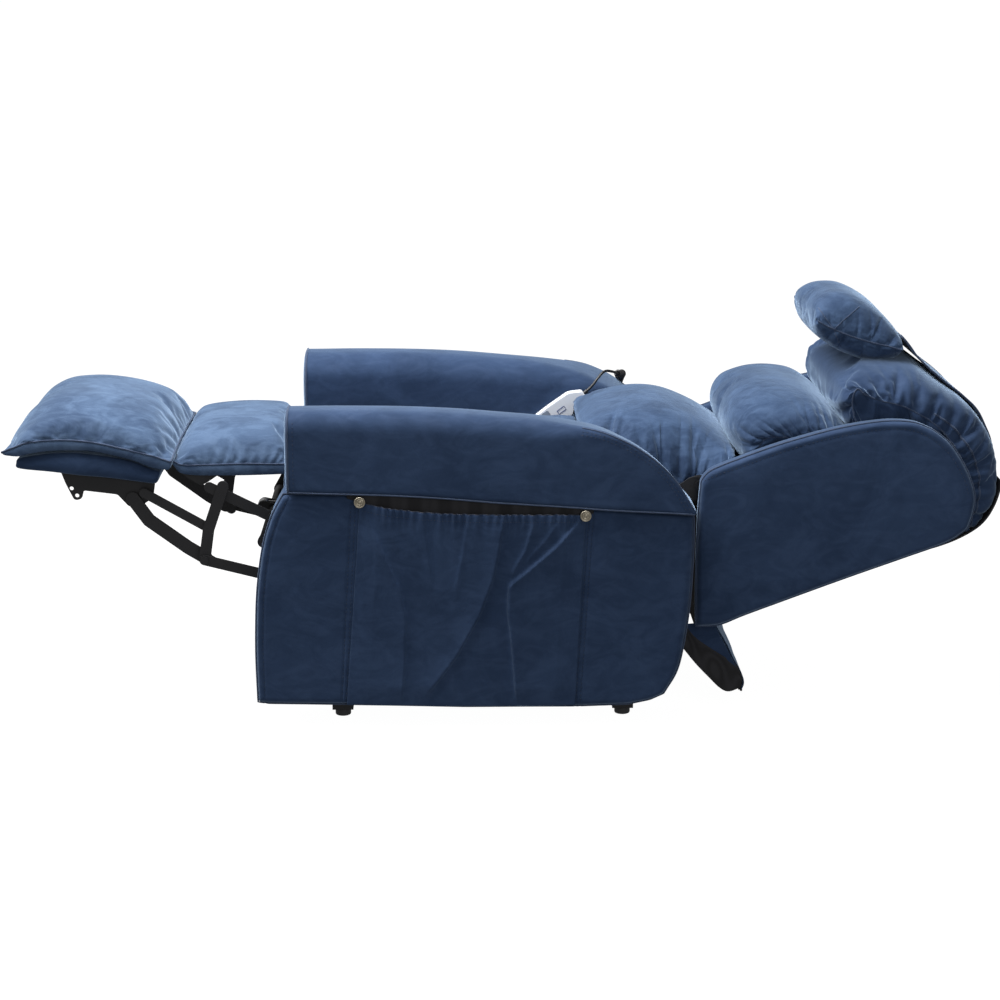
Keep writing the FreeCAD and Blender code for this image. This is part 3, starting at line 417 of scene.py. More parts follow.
def stitches(name, lines, body, length=5.0, gap=3.0, radius=0.55):
    """Lines of stitching: short threads laid on frame points in metres."""
    points, faces = [], []
    for line in lines:
        line = np.array(line, float) * 1000
        run = run_along(line)
        for start in np.arange(0, run[-1] - length, length + gap):
            ends = [at_run(run, line, start + t * length) for t in (0, 0.5, 1)]
            ahead = ends[2] - ends[0]
            ahead /= np.linalg.norm(ahead)
            side = np.cross(ahead, (1.0, 0, 0) if abs(ahead[0]) < 0.9 else (0, 1.0, 0))
            side /= np.linalg.norm(side)
            other = np.cross(ahead, side)
            first = len(points)
            points.append(ends[0])
            for k in range(4):
                turn = k * math.pi / 2
                points.append(ends[1] + radius * (math.cos(turn) * side + math.sin(turn) * other))
            points.append(ends[2])
            for k in range(4):
                faces.append((first, first + 1 + k, first + 1 + (k + 1) % 4))
                faces.append((first + 5, first + 1 + (k + 1) % 4, first + 1 + k))
    points = np.array(points) + np.array([0, CENTRE_Y, 0])
    return make(name, points, faces, body, THREAD)


def cast(obj, line, sign, lift=0.3):
    """The line of (y, z) millimetres laid on the outer side of a piece that faces sign * X."""
    tree = BVHTree.FromObject(obj, bpy.context.evaluated_depsgraph_get())
    laid = []
    for y, z in line:
        hit = tree.ray_cast(Vector(spot(sign * 600, y, z)), Vector((-sign, 0, 0)))[0]
        if hit is not None:
            laid.append((hit.x + sign * lift * 0.001, hit.y, hit.z))
    return laid


def grid_faces(index):
    rows, columns = index.shape
    return [(index[i, j], index[i + 1, j], index[i + 1, j + 1], index[i, j + 1])
            for i in range(rows - 1) for j in range(columns - 1)]


def rim(index):
    """The indices round the edge of a grid, in order."""
    return list(index[0, :-1]) + list(index[:-1, -1]) + list(index[-1, :0:-1]) + list(index[:0:-1, 0])


def domed(count, power, root):
    """Stations of a crowned pad: share of the half width, share of the crown."""
    a = np.sin(np.linspace(0, math.pi / 2, count))
    return [(s, max(0.0, 1 - s**power) ** (1 / root)) for s in a]


def ended(half, cap, flat, round_steps):
    """Stations of a pillow whose middle runs straight and whose ends close over the cap length."""
    straight = [(x / half, 1.0) for x in np.linspace(0, half - cap, flat, endpoint=False)]
    turned = [((half - cap + cap * math.sin(t)) / half, math.cos(t)) for t in np.linspace(0, math.pi / 2, round_steps)]
    return straight + turned


def cushion(name, body, material, top, bottom, side, half, stations, count, low_side=None, low_share=None,
            pull=0.0, boxed=None):
    """A closed cover. top and bottom are its middle profiles and side is its seam at both ends of the
    width, all from front to rear; low_side is the lower seam where the cover has a boxed band."""
    top, bottom, side = (smooth_line(line, count) for line in (top, bottom, side))
    low = side if low_side is None else smooth_line(low_side, count)
    across = np.array([s[0] for s in stations])
    crown = np.array([s[1] for s in stations])
    sag = crown if low_share is None else np.array([low_share(s[0]) for s in stations])
    across = np.r_[-across[:0:-1], across]
    crown, sag = np.r_[crown[:0:-1], crown], np.r_[sag[:0:-1], sag]
    narrow = 1 - pull * np.sin(np.linspace(0, math.pi, count))
    x = half * narrow[:, None] * across[None, :]
    crown, sag = np.repeat(crown[None, :], count, 0), np.repeat(sag[None, :], count, 0)
    if boxed:
        start, end, power = boxed
        share = np.clip((np.linspace(0, 1, count) - start) / (end - start), 0, 1)[:, None]
        crown = crown * (1 - share) + np.maximum(0, 1 - np.abs(across[None, :]) ** power) ** 0.5 * share
    upper = side[:, None, :] + (top - side)[:, None, :] * crown[..., None]
    lower = low[:, None, :] + (bottom - low)[:, None, :] * sag[..., None]
    size = x.size
    points = np.vstack([np.dstack([x, upper]).reshape(-1, 3), np.dstack([x, lower]).reshape(-1, 3)])
    upper_index = np.arange(size).reshape(x.shape)
    lower_index = upper_index + size
    faces = grid_faces(upper_index) + [f[::-1] for f in grid_faces(lower_index)]
    if low_side is not None:
        a, b = rim(upper_index), rim(lower_index)
        middle = (points[a] + points[b]) / 2
        centre = points.mean(0)
        away = middle - centre
        away[:, 2] = 0
        middle = middle + unit(away) * 1.5
        c = list(range(len(points), len(points) + len(a)))
        points = np.vstack([points, middle])
        faces += band_faces([a, c, b])
    kept, faces, went = weld(points, faces)
    obj = make(name, kept, faces, body, material)
    return obj, went[upper_index], went[lower_index]


def gathers(obj, index, seed, size, wave, reach):
    """Pleats drawn in at the side seams of a cover: ridges that fade away from the seam."""
    rng = np.random.default_rng(seed)
    points, normals = points_of(obj), rows_of(obj.data.vertex_normals, "vector")
    shift = np.zeros(len(points))
    rows = points[index[:, index.shape[1] // 2]]
    along = run_along(rows) * 1000
    for flip in (1, -1):
        widths = rng.uniform(0.6, 1.5, 60) * wave
        edges = np.r_[-wave * rng.uniform(0, 1), 0]
        edges = np.r_[edges[0], edges[0] + np.cumsum(widths)]
        reaches = rng.uniform(0.5, 1.5, 60) * reach
        heights = rng.uniform(0.6, 1.2, 60) * size
        slants = rng.uniform(-0.35, 0.35, 60)
        columns = index[:, ::flip]
        for i in range(columns.shape[0]):
            far = run_along(points[columns[i, : columns.shape[1] // 2]]) * 1000
            for j, distance in enumerate(far):
                if distance > 3 * reach:
                    break
                k = min(max(int(np.searchsorted(edges, along[i])) - 1, 0), 58)
                at = along[i] + slants[k] * distance
                k = min(max(int(np.searchsorted(edges, at)) - 1, 0), 58)
                phase = (at - edges[k]) / (edges[k + 1] - edges[k])
                ridge = abs(math.sin(math.pi * phase)) ** 0.8 - 0.62
                fade = min(distance / 8.0, 1.0) * math.exp(-((distance / reaches[k]) ** 2))
                shift[columns[i, j]] = ridge * fade * heights[k]
    set_points(obj, points + normals * (shift * 0.001)[:, None])


def row(obj, index):
    """The points of a seam, read from the finished cover."""
    return points_of(obj)[list(index)]


# ---------------- the hand control's cord
WIRE = 5.6
HELIX = 6.7
PITCH = 7.2
COIL_START = (-290.0, 346.0, 561.0)
LEAD_ROUTE = [(-239.5, 275.6, 528.4), (-242.0, 292.0, 541.5), (-250.0, 305.0, 559.0),
              (-264.0, 319.0, 572.0), (-274.0, 337.0, 567.5), COIL_START]
COIL_ROUTE = [COIL_START, (-306.0, 355.0, 554.5), (-330.0, 360.0, 553.0), (-356.0, 361.0, 548.0),
              (-380.0, 357.0, 530.0), (-392.0, 350.0, 500.0), (-392.0, 344.0, 460.0),
              (-391.0, 341.0, 410.0), (-391.0, 337.0, 355.0), (-391.0, 334.0, 300.0),
              (-391.0, 331.0, 262.0), (-391.5, 330.0, 232.0)]


def nurbs(name, points):
    """One open smooth curve with the points, in metres, as its control points."""
    curve = bpy.data.curves.new(name, "CURVE")
    curve.dimensions = "3D"
    spline = curve.splines.new("NURBS")
    spline.points.add(len(points) - 1)
    for control, point in zip(spline.points, points):
        control.co = (*point, 1.0)
    spline.order_u = 3
    spline.use_endpoint_u = True
    curve.resolution_u = 8
    return placed(name, curve)


def helix_points(route):
    """The curl's own points, worked out round the route's smooth line."""
    guide = nurbs("guide", [spot(*p) for p in route])
    mesh = bpy.data.meshes.new_from_object(guide)
    line = np.array([v.co for v in mesh.vertices]) * 1000
    bpy.data.objects.remove(guide)
    run = run_along(line)
    per_turn = 12
    count = int(run[-1] / PITCH * per_turn)
    side = np.array([0.0, 0.0, 1.0])
    made = []
    for k in range(2, count):
        at = run[-1] * k / count
        here, on, before = (at_run(run, line, to) for to in (at, min(at + 1, run[-1]), max(at - 1, 0)))
        ahead = (on - before) / np.linalg.norm(on - before)
        side = side - ahead * side.dot(ahead)
        side /= np.linalg.norm(side)
        other = np.cross(ahead, side)
        turn = 2 * math.pi * k / per_turn
        radius = HELIX * min(1.0, k / per_turn, (count - k) / per_turn)
        made.append((here + radius * (math.cos(turn) * side + math.sin(turn) * other)) * 0.001)
    return made


curl = helix_points(COIL_ROUTE)
cord_points = [spot(*p) for p in LEAD_ROUTE[:-1]] + [tuple(p) for p in curl] + [spot(*COIL_ROUTE[-1])]
cord = nurbs("handset_cord", cord_points)
cord.data.bevel_depth = WIRE / 2000
cord.data.bevel_resolution = 3
cord.data.use_fill_caps = True
cord.data.materials.append(SLOTS["cord_rubber"])
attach(cord, "seat_frame")
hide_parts("handset_lead", "handset_coil")


# ---------------- legrest
foot, foot_top, foot_low = cushion(
    "foot_pillow", "footrest", SUEDE_PAINTED_LIT_LEG,
    top=yz("-850,503 -849,516 -824,548 -784,578 -744,588 -684,588 -605,572 -560,548 -537,520 -533,498"),
    bottom=yz("-846,500 -800,503 -760,506 -700,505 -621,494 -575,477 -536,473"),
    side=yz("-852,509 -832,517 -807,526 -758,531 -713,530 -673,525 -628,515 -591,506 -557,497 -534,489"),
    low_side=yz("-846,503 -821,500 -799,505 -759,510 -713,511 -674,509 -614,494 -570,477 -537,473"),
    half=243, stations=domed(34, 2.8, 1.9), count=66, low_share=lambda a: 1.0 if a < 0.93 else 0.0, pull=0.022)
gathers(foot, foot_top, 11, 4.0, 40, 45)
inflate(foot, set(rim(foot_top)) | set(foot_low.ravel()), 0.04, 8)
soften(foot, 2.0, 90, 1)
subdivide(foot)
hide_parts("footrest_pillow")
tube("foot_pillow_welt", row(foot, rim(foot_top)), 1.9, "footrest", closed=True)

board, _, _ = cushion(
    "foot_board_cover", "footrest", SUEDE,
    top=yz("-828,484 -822,494 -760,503 -700,502 -620,490 -570,471 -557,466 -560,454"),
    bottom=yz("-828,484 -823,474 -740,464 -640,453 -572,444 -562,446 -560,454"),
    side=yz("-820,484 -760,483 -700,479 -640,471 -600,463 -564,455"),
    half=234, stations=ended(234, 9, 30, 6), count=60)
soften(board, 1.2, 70, 2)
subdivide(board)
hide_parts("footrest_board")

calf, calf_top, calf_low = cushion(
    "calf_pillow_cover", "calf_flap", SUEDE_PAINTED_LIT_LEG,
    top=yz("-530,481 -529,502 -512,522 -476,534 -416,539 -345,537 -315,525 -308,501 -309,480"),
    bottom=[(-527, 473), (-460, 473), (-380, 473), (-310, 473)],
    side=yz("-535,483 -515,475 -473,475 -397,477 -340,476 -309,477"),
    low_side=yz("-533,474 -512,457 -426,454 -324,456 -310,458"),
    half=205, stations=domed(32, 3.0, 1.9), count=52, low_share=lambda a: 1.0 if a < 0.985 else 0.0)
gathers(calf, calf_top, 5, 7.0, 22, 30)
inflate(calf, set(rim(calf_top)) | set(calf_low.ravel()), 0.04, 7)
soften(calf, 1.5, 80, 3)
subdivide(calf)
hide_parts("calf_pillow")
calf_welt = tube("calf_pillow_welt", row(calf, rim(calf_top)), 1.7, "calf_flap", closed=True)
for piece in (calf, calf_welt):
    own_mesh(piece)


# ---------------- seat and back pillows
def pillow(name, body, top, bottom, side, half, stations, node, seed, pleat=(5.0, 30.0, 48.0), grow=0.06,
           material=SUEDE_PAINTED_LIT_TOP, limit=9, count=120, boxed=None):
    """A loose pillow with gathered ends that close on a curved seam."""
    obj, upper, lower = cushion(name, body, material, top, bottom, side, half, stations, count, boxed=boxed)
    gathers(obj, upper, seed, *pleat)
    gathers(obj, lower, seed + 50, *pleat)
    inflate(obj, set(upper[:, 0]) | set(upper[:, -1]), grow, limit)
    soften(obj, 3.0, 95, seed)
    subdivide(obj)
    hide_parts(node)
    seams = [tube(f"{name}_seam_{'right' if k == 0 else 'left'}", row(obj, upper[:, k]), 1.5, body) for k in (0, -1)]
    return obj, upper, lower, seams


pillow("seat_cushion_cover", "seat_frame",
       top=yz("-300,478 -299,497 -280,509 -180,512 -60,509 60,504 180,497 290,489 356,481 388,467 396,450"),
       bottom=yz("-300,478 -284,456 -258,438 -100,437 100,437 300,437 388,438 396,450"),
       side=yz("-292,482 -200,480 0,474 200,468 390,454"),
       half=219, stations=ended(219, 34, 26, 13), node="seat_cushion", seed=21, pleat=(1.5, 60, 30), grow=0.02,
       limit=5, count=92)

rail, _, _ = cushion(
    "front_rail_cover", "seat_frame", SUEDE,
    top=yz("-320,407 -322,430 -321,455 -316,472 -306,481 -294,482"),
    bottom=yz("-320,407 -317,415 -317,435 -316,455 -306,474 -294,482"),
    side=yz("-320,407 -319,430 -318,455 -311,473 -294,482"),
    half=229, stations=ended(229, 5, 30, 4), count=36)
soften(rail, 1.0, 60, 14)
subdivide(rail)

lumbar, _, _, lumbar_seams = pillow(
    "lumbar_cover", "backrest",
    top=yz("250,514 255,527 272,541 300,554 345,566 390,569 433,561 487,537 530,506 556,478"),
    bottom=yz("250,520 256,508 300,496 356,484 400,470 450,455 510,452 556,478"),
    side=yz("262,508 300,497 350,484 390,469 415,449 450,433 485,440 515,462 540,486"),
    half=223, stations=domed(38, 2.9, 1.8), node="lumbar_pillow", seed=31, pleat=(14.0, 34, 60))
for piece in (lumbar, *lumbar_seams):
    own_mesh(piece)

pillow("middle_cover", "backrest",
       top=yz("566,472 546,503 529,542 534,570 554,590 590,602 622,605 662,601 694,591 730,565 758,532 774,500 "
              "772,482"),
       bottom=yz("566,472 600,462 650,463 700,468 750,476 770,484"),
       side=yz("575,500 590,526 613,534 657,531 700,534 740,515 762,494"),
       half=246, stations=domed(38, 3.6, 2.0), node="middle_pillow", seed=44, pleat=(10.0, 34, 60), grow=0.05)

# The head cushion takes the darker side suede instead of the lighter pillow copy: painted shade, for the shadow the
# neck roll casts on it.
head, head_upper, _, _ = pillow(
    "head_cushion_cover", "backrest",
    top=yz("794,490 776,522 750,562 727,600 724,629 738,648 766,657 802,660 850,658 884,652 912,633 940,611 "
           "976,585 1006,554 1028,518 1040,480 1043,440 1034,398 1012,358 986,336"),
    bottom=yz("794,490 830,466 880,446 930,420 958,392 970,356 986,336"),
    side=yz("780,530 762,570 757,606 766,626 779,616 811,603 858,590 914,558 950,520 974,480 986,436 986,392 "
            "984,352"),
    half=247, stations=domed(38, 3.4, 1.9), node="head_cushion", seed=57, pleat=(14.0, 32, 60), count=150,
    boxed=(0.40, 0.62, 14), material=SUEDE)

roll, _, _, _ = pillow(
    "neck_roll", "backrest",
    top=yz("692,745 698,764 722,780 750,785 776,781 810,763 836,739 858,714 876,686"),
    bottom=yz("692,745 697,722 710,704 740,682 768,668 807,656 845,656 868,667 876,686"),
    side=yz("702,740 716,732 733,724 762,712 800,700 838,691 866,683"),
    half=150, stations=domed(34, 4.5, 1.9), node="head_pillow", seed=63, pleat=(7.0, 34, 30), grow=0.03, limit=4)
GUSSETS = ("733,724 716,746 706,762", "733,724 758,746 784,764", "733,724 742,702 750,688")
for k, line in enumerate(map(yz, GUSSETS)):
    for side_name, sign in SIDES:
        tube(f"neck_roll_gusset_{k}_{side_name}", cast(roll, smooth_line(line, 24), sign, 0.0), 0.9, "backrest")


# ---------------- upholstered panels
def coons(bottom, top, left, right, across, upward):
    """A grid of (y, z) that fills four sides. across and upward are the shares at which it is cut."""
    def side(line, shares):
        at = np.array([p[0] for p in line])
        return np.stack([np.interp(shares, at, [p[k] for p in line]) for k in (1, 2)], 1)
    b, t = side(bottom, across), side(top, across)
    l, r = side(left, upward), side(right, upward)
    u, v = across[:, None, None], upward[None, :, None]
    corners = (1 - u) * (1 - v) * b[0] + u * (1 - v) * b[-1] + (1 - u) * v * t[0] + u * v * t[-1]
    return (1 - v) * b[:, None] + v * t[:, None] + (1 - u) * l[None] + u * r[None] - corners


def shared(line, count=40):
    """A smooth line as (share, y, z), by its length."""
    dense = smooth_line(line, count)
    return [(k / (count - 1), *p) for k, p in enumerate(dense)]


def distance_to(points, line):
    """Distance of each (y, z) to a polyline."""
    best = np.full(points.shape[:-1], 1e9)
    for a, b in zip(np.array(line, float)[:-1], np.array(line, float)[1:]):
        on = b - a
        share = np.clip(((points - a) @ on) / max(on @ on, 1e-9), 0, 1)
        best = np.minimum(best, np.linalg.norm(points - (a + share[..., None] * on), axis=-1))
    return best


def panel(name, body, grid, faces_at, sign, radius, relief, node, bands=6):
    """A padded flat part: an outer face with rounded edges and relief, an inner face and the band between."""
    edge = grid.reshape(-1, 2)[rim(np.arange(grid.shape[0] * grid.shape[1]).reshape(grid.shape[:2]))]
    edge = np.vstack([edge, edge[:1]])
    inset = distance_to(grid, edge)
    bent = np.clip(radius - inset, 0, radius)
    drop = radius - np.sqrt(radius**2 - bent**2)
    outer = faces_at[1] - drop + relief(grid[..., 0], grid[..., 1], inset)
    inner = faces_at[0] + np.minimum(drop, 5.0)
    size = outer.size
    index = np.arange(size).reshape(outer.shape)
    points = np.vstack([np.dstack([outer, grid]).reshape(-1, 3), np.dstack([inner, grid]).reshape(-1, 3)])
    faces = grid_faces(index) + [f[::-1] for f in grid_faces(index + size)]
    a, b = rim(index), rim(index + size)
    loops = [a]
    centre = grid.reshape(-1, 2).mean(0)
    for k in range(1, bands):
        ring = points[a] * (1 - k / bands) + points[b] * (k / bands)
        away = ring[:, 1:] - centre
        ring[:, 1:] += unit(away) * 1.2 * math.sin(math.pi * k / bands)
        loops.append(list(range(len(points), len(points) + len(a))))
        points = np.vstack([points, ring])
    loops.append(b)
    faces += band_faces(loops)
    obj = make(name, points * np.array([sign, 1, 1]), faces, body, SUEDE)
    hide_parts(node)
    return obj, row(obj, a)


def groove(distance, depth, width):
    return -depth * np.exp(-((distance / width) ** 2))


def waves(y, z, seed, size, amount):
    out = np.zeros(np.shape(y))
    for k in np.ndindex(out.shape):
        out[k] = amount * noise.noise(Vector((y[k] / size + seed * 5.1, z[k] / size, seed * 2.7)))
    return out


SEAMS = [[(-180, 437), (-203, 42)], [(-188, 437), (-211, 42)], [(254, 416), (231, 39)], [(262, 415), (239, 39)]]
front_edge = yz("-369,50 -371,150 -368,245 -362,305 -352,362 -336,412 -314,453")
rear_edge = yz("398,62 424,110 438,180 446,250 450,340 450,408")
# (share, y, z): the two seams are at the shares in SEAM_SHARES.
bottom_edge = [(0.0, -369, 50), (0.03, -348, 47), (0.2, -207, 44), (0.5, 20, 38.5), (0.8, 235, 38), (0.9, 330, 41),
               (0.96, 372, 50), (1.0, 398, 62)]
top_edge = [(0.0, -314, 453), (0.2, -184, 453), (0.5, 40, 440), (0.8, 258, 423.5), (0.9, 350, 417), (1.0, 450, 408)]
SEAM_SHARES = (0.2, 0.8)
FRONT_SEAM = 14
SIDE_FACES = (250, 368)
WING_FACES = (252, 297)


def cut_at(marks, coarse, fine=(0, 2, 4, 7, 11)):
    """Even shares with extra cuts beside the marks, for narrow seams. fine is in thousandths."""
    shares = set(np.round(np.linspace(0, 1, coarse), 5))
    for mark in marks:
        shares |= {round(mark + s * f / 1000, 5) for f in fine for s in (-1, 1)}
    return np.array(sorted(s for s in shares if 0 <= s <= 1))


def side_relief(y, z, inset):
    spots = np.stack([y, z], -1)
    shape = waves(y, z, 1, 120, 1.4)
    for line in SEAMS:
        shape = shape + groove(distance_to(spots, line), 1.6, 2.6)
    front = distance_to(spots, front_edge)
    shape = shape + groove(np.abs(front - FRONT_SEAM), 1.8, 2.4)
    return shape - 1.0


for side_name, sign in SIDES:
    across = cut_at([mark + s * 0.006 for mark in SEAM_SHARES for s in (-1, 1)] + [0.018], 110)
    grid = coons(bottom_edge, top_edge, shared(front_edge), shared(rear_edge), across, np.linspace(0, 1, 62))
    cover, edge = panel(f"side_cover_{side_name}", "seat_frame", grid, SIDE_FACES, sign, 9, side_relief,
                        f"side_panel_{side_name}")
    subdivide(cover)
    tube(f"side_cover_welt_{side_name}", edge, 1.7, "seat_frame", closed=True)
    rows = [cast(cover, smooth_line(line, 60), sign) for line in SEAMS]
    rows.append(cast(cover, [(y + FRONT_SEAM, z) for y, z in smooth_line(front_edge, 60)][2:-2], sign))
    stitches(f"side_cover_stitches_{side_name}", rows, "seat_frame")


# ---------------- arm pads
PAD_TOP = yz("-304,607 -200,608 -100,607 0,603 90,596 170,589 232,581 270,574 300,564 340,544 380,515 412,482 440,440 "
             "455,414")
PAD_LOW = yz("-304,458.5 -97,452 88,438 273,424 440,414.5 455,412.5")


ARM_IN, ARM_OUT = 250, 377
ARM_WIDTH = ARM_OUT - ARM_IN


def arm_pad(side_name, sign):
    """The roll along the top of the arm: round crest, flat outer face, piped front and rear edges."""
    stations = np.r_[-304, -303, -301, np.linspace(-296, 220, 72), np.linspace(226, 455, 46)]
    top = np.interp(stations, *zip(*smooth_line(PAD_TOP, 200)))
    low = np.interp(stations, *zip(*smooth_line(PAD_LOW, 60)))
    rings = []
    for y, high, base in zip(stations, top, low):
        tall = max(high - base, 1.2)
        fade = min(max((y - 150) / 160, 0.0), 1.0)
        outer_radius = min(40 * (1 - fade) + 9 * fade, tall * 0.48)
        inner_radius = min(56 * (1 - fade) + 30 * fade, tall * 0.48)
        fall = 17 * fade * min(tall / 60, 1)
        bulge = 0.8 * min(tall / 100, 1)
        section = []
        for t in np.linspace(0, 1, 14, endpoint=False):
            section.append((ARM_IN - 1.5 * math.sin(math.pi * t), base + t * (tall - inner_radius)))
        for t in np.linspace(0, math.pi / 2, 9, endpoint=False):
            section.append((ARM_IN + inner_radius * (1 - math.cos(t)), base + tall - inner_radius * (1 - math.sin(t))))
        for t in np.linspace(0, 1, 10, endpoint=False):
            section.append((ARM_IN + inner_radius + t * (ARM_WIDTH - inner_radius - outer_radius),
                            base + tall + bulge * math.sin(math.pi * t)))
        for t in np.linspace(0, math.pi / 2, 9, endpoint=False):
            section.append((ARM_OUT - outer_radius * (1 - math.sin(t)),
                            base + tall - outer_radius * (1 - math.cos(t))))
        for t in np.linspace(0, 1, 14, endpoint=False):
            section.append((ARM_OUT + 0.8 * math.sin(math.pi * t), base + (1 - t) * (tall - outer_radius)))
        for t in np.linspace(0, 1, 12, endpoint=False):
            section.append((ARM_OUT - ARM_WIDTH * t, base))
        rings.append([(x, y, z - fall * (ARM_OUT - x) / ARM_WIDTH * (z - base) / tall) for x, z in section])
    count = len(rings[0])
    points = np.array(rings)
    first = points[0]
    centre = first.mean(0)
    caps = []
    for share, forward in ((0.995, 2.0), (0.96, 4.0), (0.8, 6.0), (0.55, 7.5), (0.25, 8.5)):
        ring = centre + (first - centre) * share
        ring[:, 1] = first[:, 1] - forward
        caps.append(ring)
    points = np.vstack([np.array(caps[::-1]).reshape(-1, 3), points.reshape(-1, 3)])
    faces = ring_faces(len(points) // count, count)
    obj = make(f"arm_roll_{side_name}", points * np.array([sign, 1, 1]), faces, "seat_frame", SUEDE)
    soften(obj, 1.2, 130, 7)
    subdivide(obj)
    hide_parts(f"arm_pad_{side_name}")
    ring = list(range(5 * count, 6 * count))
    tube(f"arm_roll_front_welt_{side_name}", row(obj, ring), 1.9, "seat_frame", closed=True)
    outer_low = [(5 + i) * count + 56 for i in range(len(stations) - 1)]
    tube(f"arm_roll_hem_{side_name}", row(obj, outer_low), 1.5, "seat_frame")
    crest = smooth_line(PAD_TOP, 200)
    rear = crest[(crest[:, 0] > 236) & (crest[:, 1] > 424)]
    ahead = unit(np.gradient(rear, axis=0))
    inwards = np.stack([ahead[:, 1], -ahead[:, 0]], 1)
    lines = [cast(obj, rear + inwards * inset, sign) for inset in (9.0, 15.0)]
    lines.append(cast(obj, [(-294, z) for z in np.linspace(466, 590, 40)], sign))
    stitches(f"arm_roll_stitches_{side_name}", lines, "seat_frame")
    tube(f"arm_roll_rear_welt_{side_name}", cast(obj, rear[:-1] + np.array([0, -3.5]), sign, 0.0), 1.6, "seat_frame")


for side_name, sign in SIDES:
    arm_pad(side_name, sign)


# ---------------- magazine pockets
MOUTH = yz("-172,438 -130,430 -80,423 -20,418 30,416 90,415 150,414.5 200,414.5 247,412")
# Each fold: its line from top to bottom, height, width, and the side its steep face is on (-1 front, 1 rear).
FOLDS = [(yz("-166,430 -134,350 -104,280 -90,222 -92,130 -98,50"), 5.0, 26, 1),
         (yz("236,402 190,352 140,308 106,280 104,230 112,160 120,50"), 9.0, 40, -1),
         (yz("92,398 84,340 74,292 48,220 4,140 -52,64"), 6.5, 34, 1),
         (yz("26,402 20,350 6,280"), 3.2, 16, -1), (yz("-54,404 -48,350 -40,290"), 3.0, 15, 1),
         (yz("150,400 136,350 112,306"), 5.0, 12, -1), (yz("196,402 172,366 140,330"), 3.0, 10, -1),
         (yz("-10,130 0,90 6,52"), 2.0, 18, 1), (yz("-118,408 -104,350"), 2.4, 12, 1)]


def pocket(side_name, sign):
    """A sheet gathered on elastic along its mouth, slack between its two seams."""
    wide, tall = 190, 110
    mouth = smooth_line(MOUTH, wide)
    foot_line = smooth_line(yz("-201,46 -100,44 20,42 130,42 230,43"), wide)
    u = np.linspace(0, 1, wide)[:, None]
    v = np.linspace(0, 1, tall)[None, :]
    grid = foot_line[:, None] * (1 - v[..., None]) + mouth[:, None] * v[..., None]
    y, z = grid[..., 0], grid[..., 1]
    held = np.clip(np.minimum(u, 1 - u) / 0.09, 0, 1) * np.clip(v / 0.10, 0, 1) ** 0.6
    stand = 369.3 + held * (3.5 + 5.0 * v**2)
    relief = np.zeros_like(stand)
    for line, height, width, steep in FOLDS:
        pts = np.array(line, float)
        at = np.interp(z, pts[::-1, 1], pts[::-1, 0])
        signed = np.clip((at - y) * steep / width, -6, 6)
        ends = np.clip((z - pts[-1, 1] + 26) / 50, 0, 1) * np.clip((pts[0, 1] + 16 - z) / 30, 0, 1)
        gentle = np.exp(-np.maximum(signed, 0) * 1.3)
        sharp = np.exp(np.minimum(signed, 0) * width / 3.0) * 1.35 - 0.35 * np.exp(np.minimum(signed, 0) * width / 14.0)
        relief += height * np.where(signed > 0, gentle, sharp) * ends
    ruffle = np.sin(y / 2.35 + 1.7 * np.sin(y / 17.0)) * np.exp(-((1 - v) * 370 / 22) ** 2) * 2.6
    draw = np.sin(y / 6.5 + 2.0 * np.sin(y / 31.0)) * np.exp(-((1 - v) * 370 / 70) ** 1.2) * 1.5
    x = stand + held * (relief + draw) + np.clip(held, 0, 1) * ruffle
    x = np.clip(x, 369.2, 394.0)
    index = np.arange(x.size).reshape(x.shape)
    points = np.dstack([x, grid]).reshape(-1, 3) * np.array([sign, 1, 1])
    faces = grid_faces(index)
    if sign < 0:
        faces = [f[::-1] for f in faces]
    obj = make(f"pocket_cloth_{side_name}", points, faces, "seat_frame", SUEDE)
    thicken(obj, 0.0014, 0.0)
    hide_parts(f"side_pocket_{side_name}")
    edge = row(obj, index[:, -1])
    # The pocket's hem is a real hem drawn in the darker thread colour, not suede: that colour is painted shade, for the
    # dark mouth under the arm roll.
    tube(f"pocket_hem_{side_name}", edge, 0.9, "seat_frame", THREAD)
    # Black lining strip on the side panel between the pocket mouth and the arm roll: a dark sheet put in as painted
    # shade, for the shadow under the arm roll's overhang and in the pocket opening.
    lip = smooth_line(yz("-196,454 -80,448 30,440 150,431 262,423"), 60)
    low = smooth_line(yz("-196,446 -80,408 30,400 150,400 262,415"), 60)
    share = np.linspace(0, 1, 14)[None, :, None]
    shade_strip = low[:, None] * (1 - share) + lip[:, None] * share
    shade_strip_index = np.arange(60 * 14).reshape(60, 14)
    stand_off = 368.9 + 0.5 * np.sin(shade_strip[..., 0] / 9.0)
    shade_strip = make(f"pocket_shade_strip_{side_name}", np.dstack([stand_off, shade_strip]).reshape(-1, 3) * np.array([sign, 1, 1]),
                  grid_faces(shade_strip_index), "seat_frame", LINING)
    thicken(shade_strip, 0.0008)
    casing = row(obj, index[2:-2, -5]) + np.array([sign * 0.0009, 0, 0])
    stitches(f"pocket_stitches_{side_name}", [casing], "seat_frame", 3.5, 2.5)


def snap(points, faces, y, z, sign):
    """One turned press-stud cap with a raised rim, a dished ring and a centre boss."""
    profile = [(368.6, 6), (377.2, 6), (377.4, 10.2), (378.6, 10.6), (380.2, 10.0), (380.4, 9.0), (378.0, 8.2),
               (377.8, 6.6), (379.7, 5.8), (379.8, 4.8), (378.0, 4.2), (378.0, 2.8), (379.4, 2.0), (379.6, 0.6)]
    first, sides = len(points), 36
    for x, radius in profile:
        for k in range(sides):
            t = 2 * math.pi * k / sides
            points.append((sign * x, y + radius * math.cos(t), z + radius * math.sin(t)))
    faces += ring_faces(len(profile), sides, first)


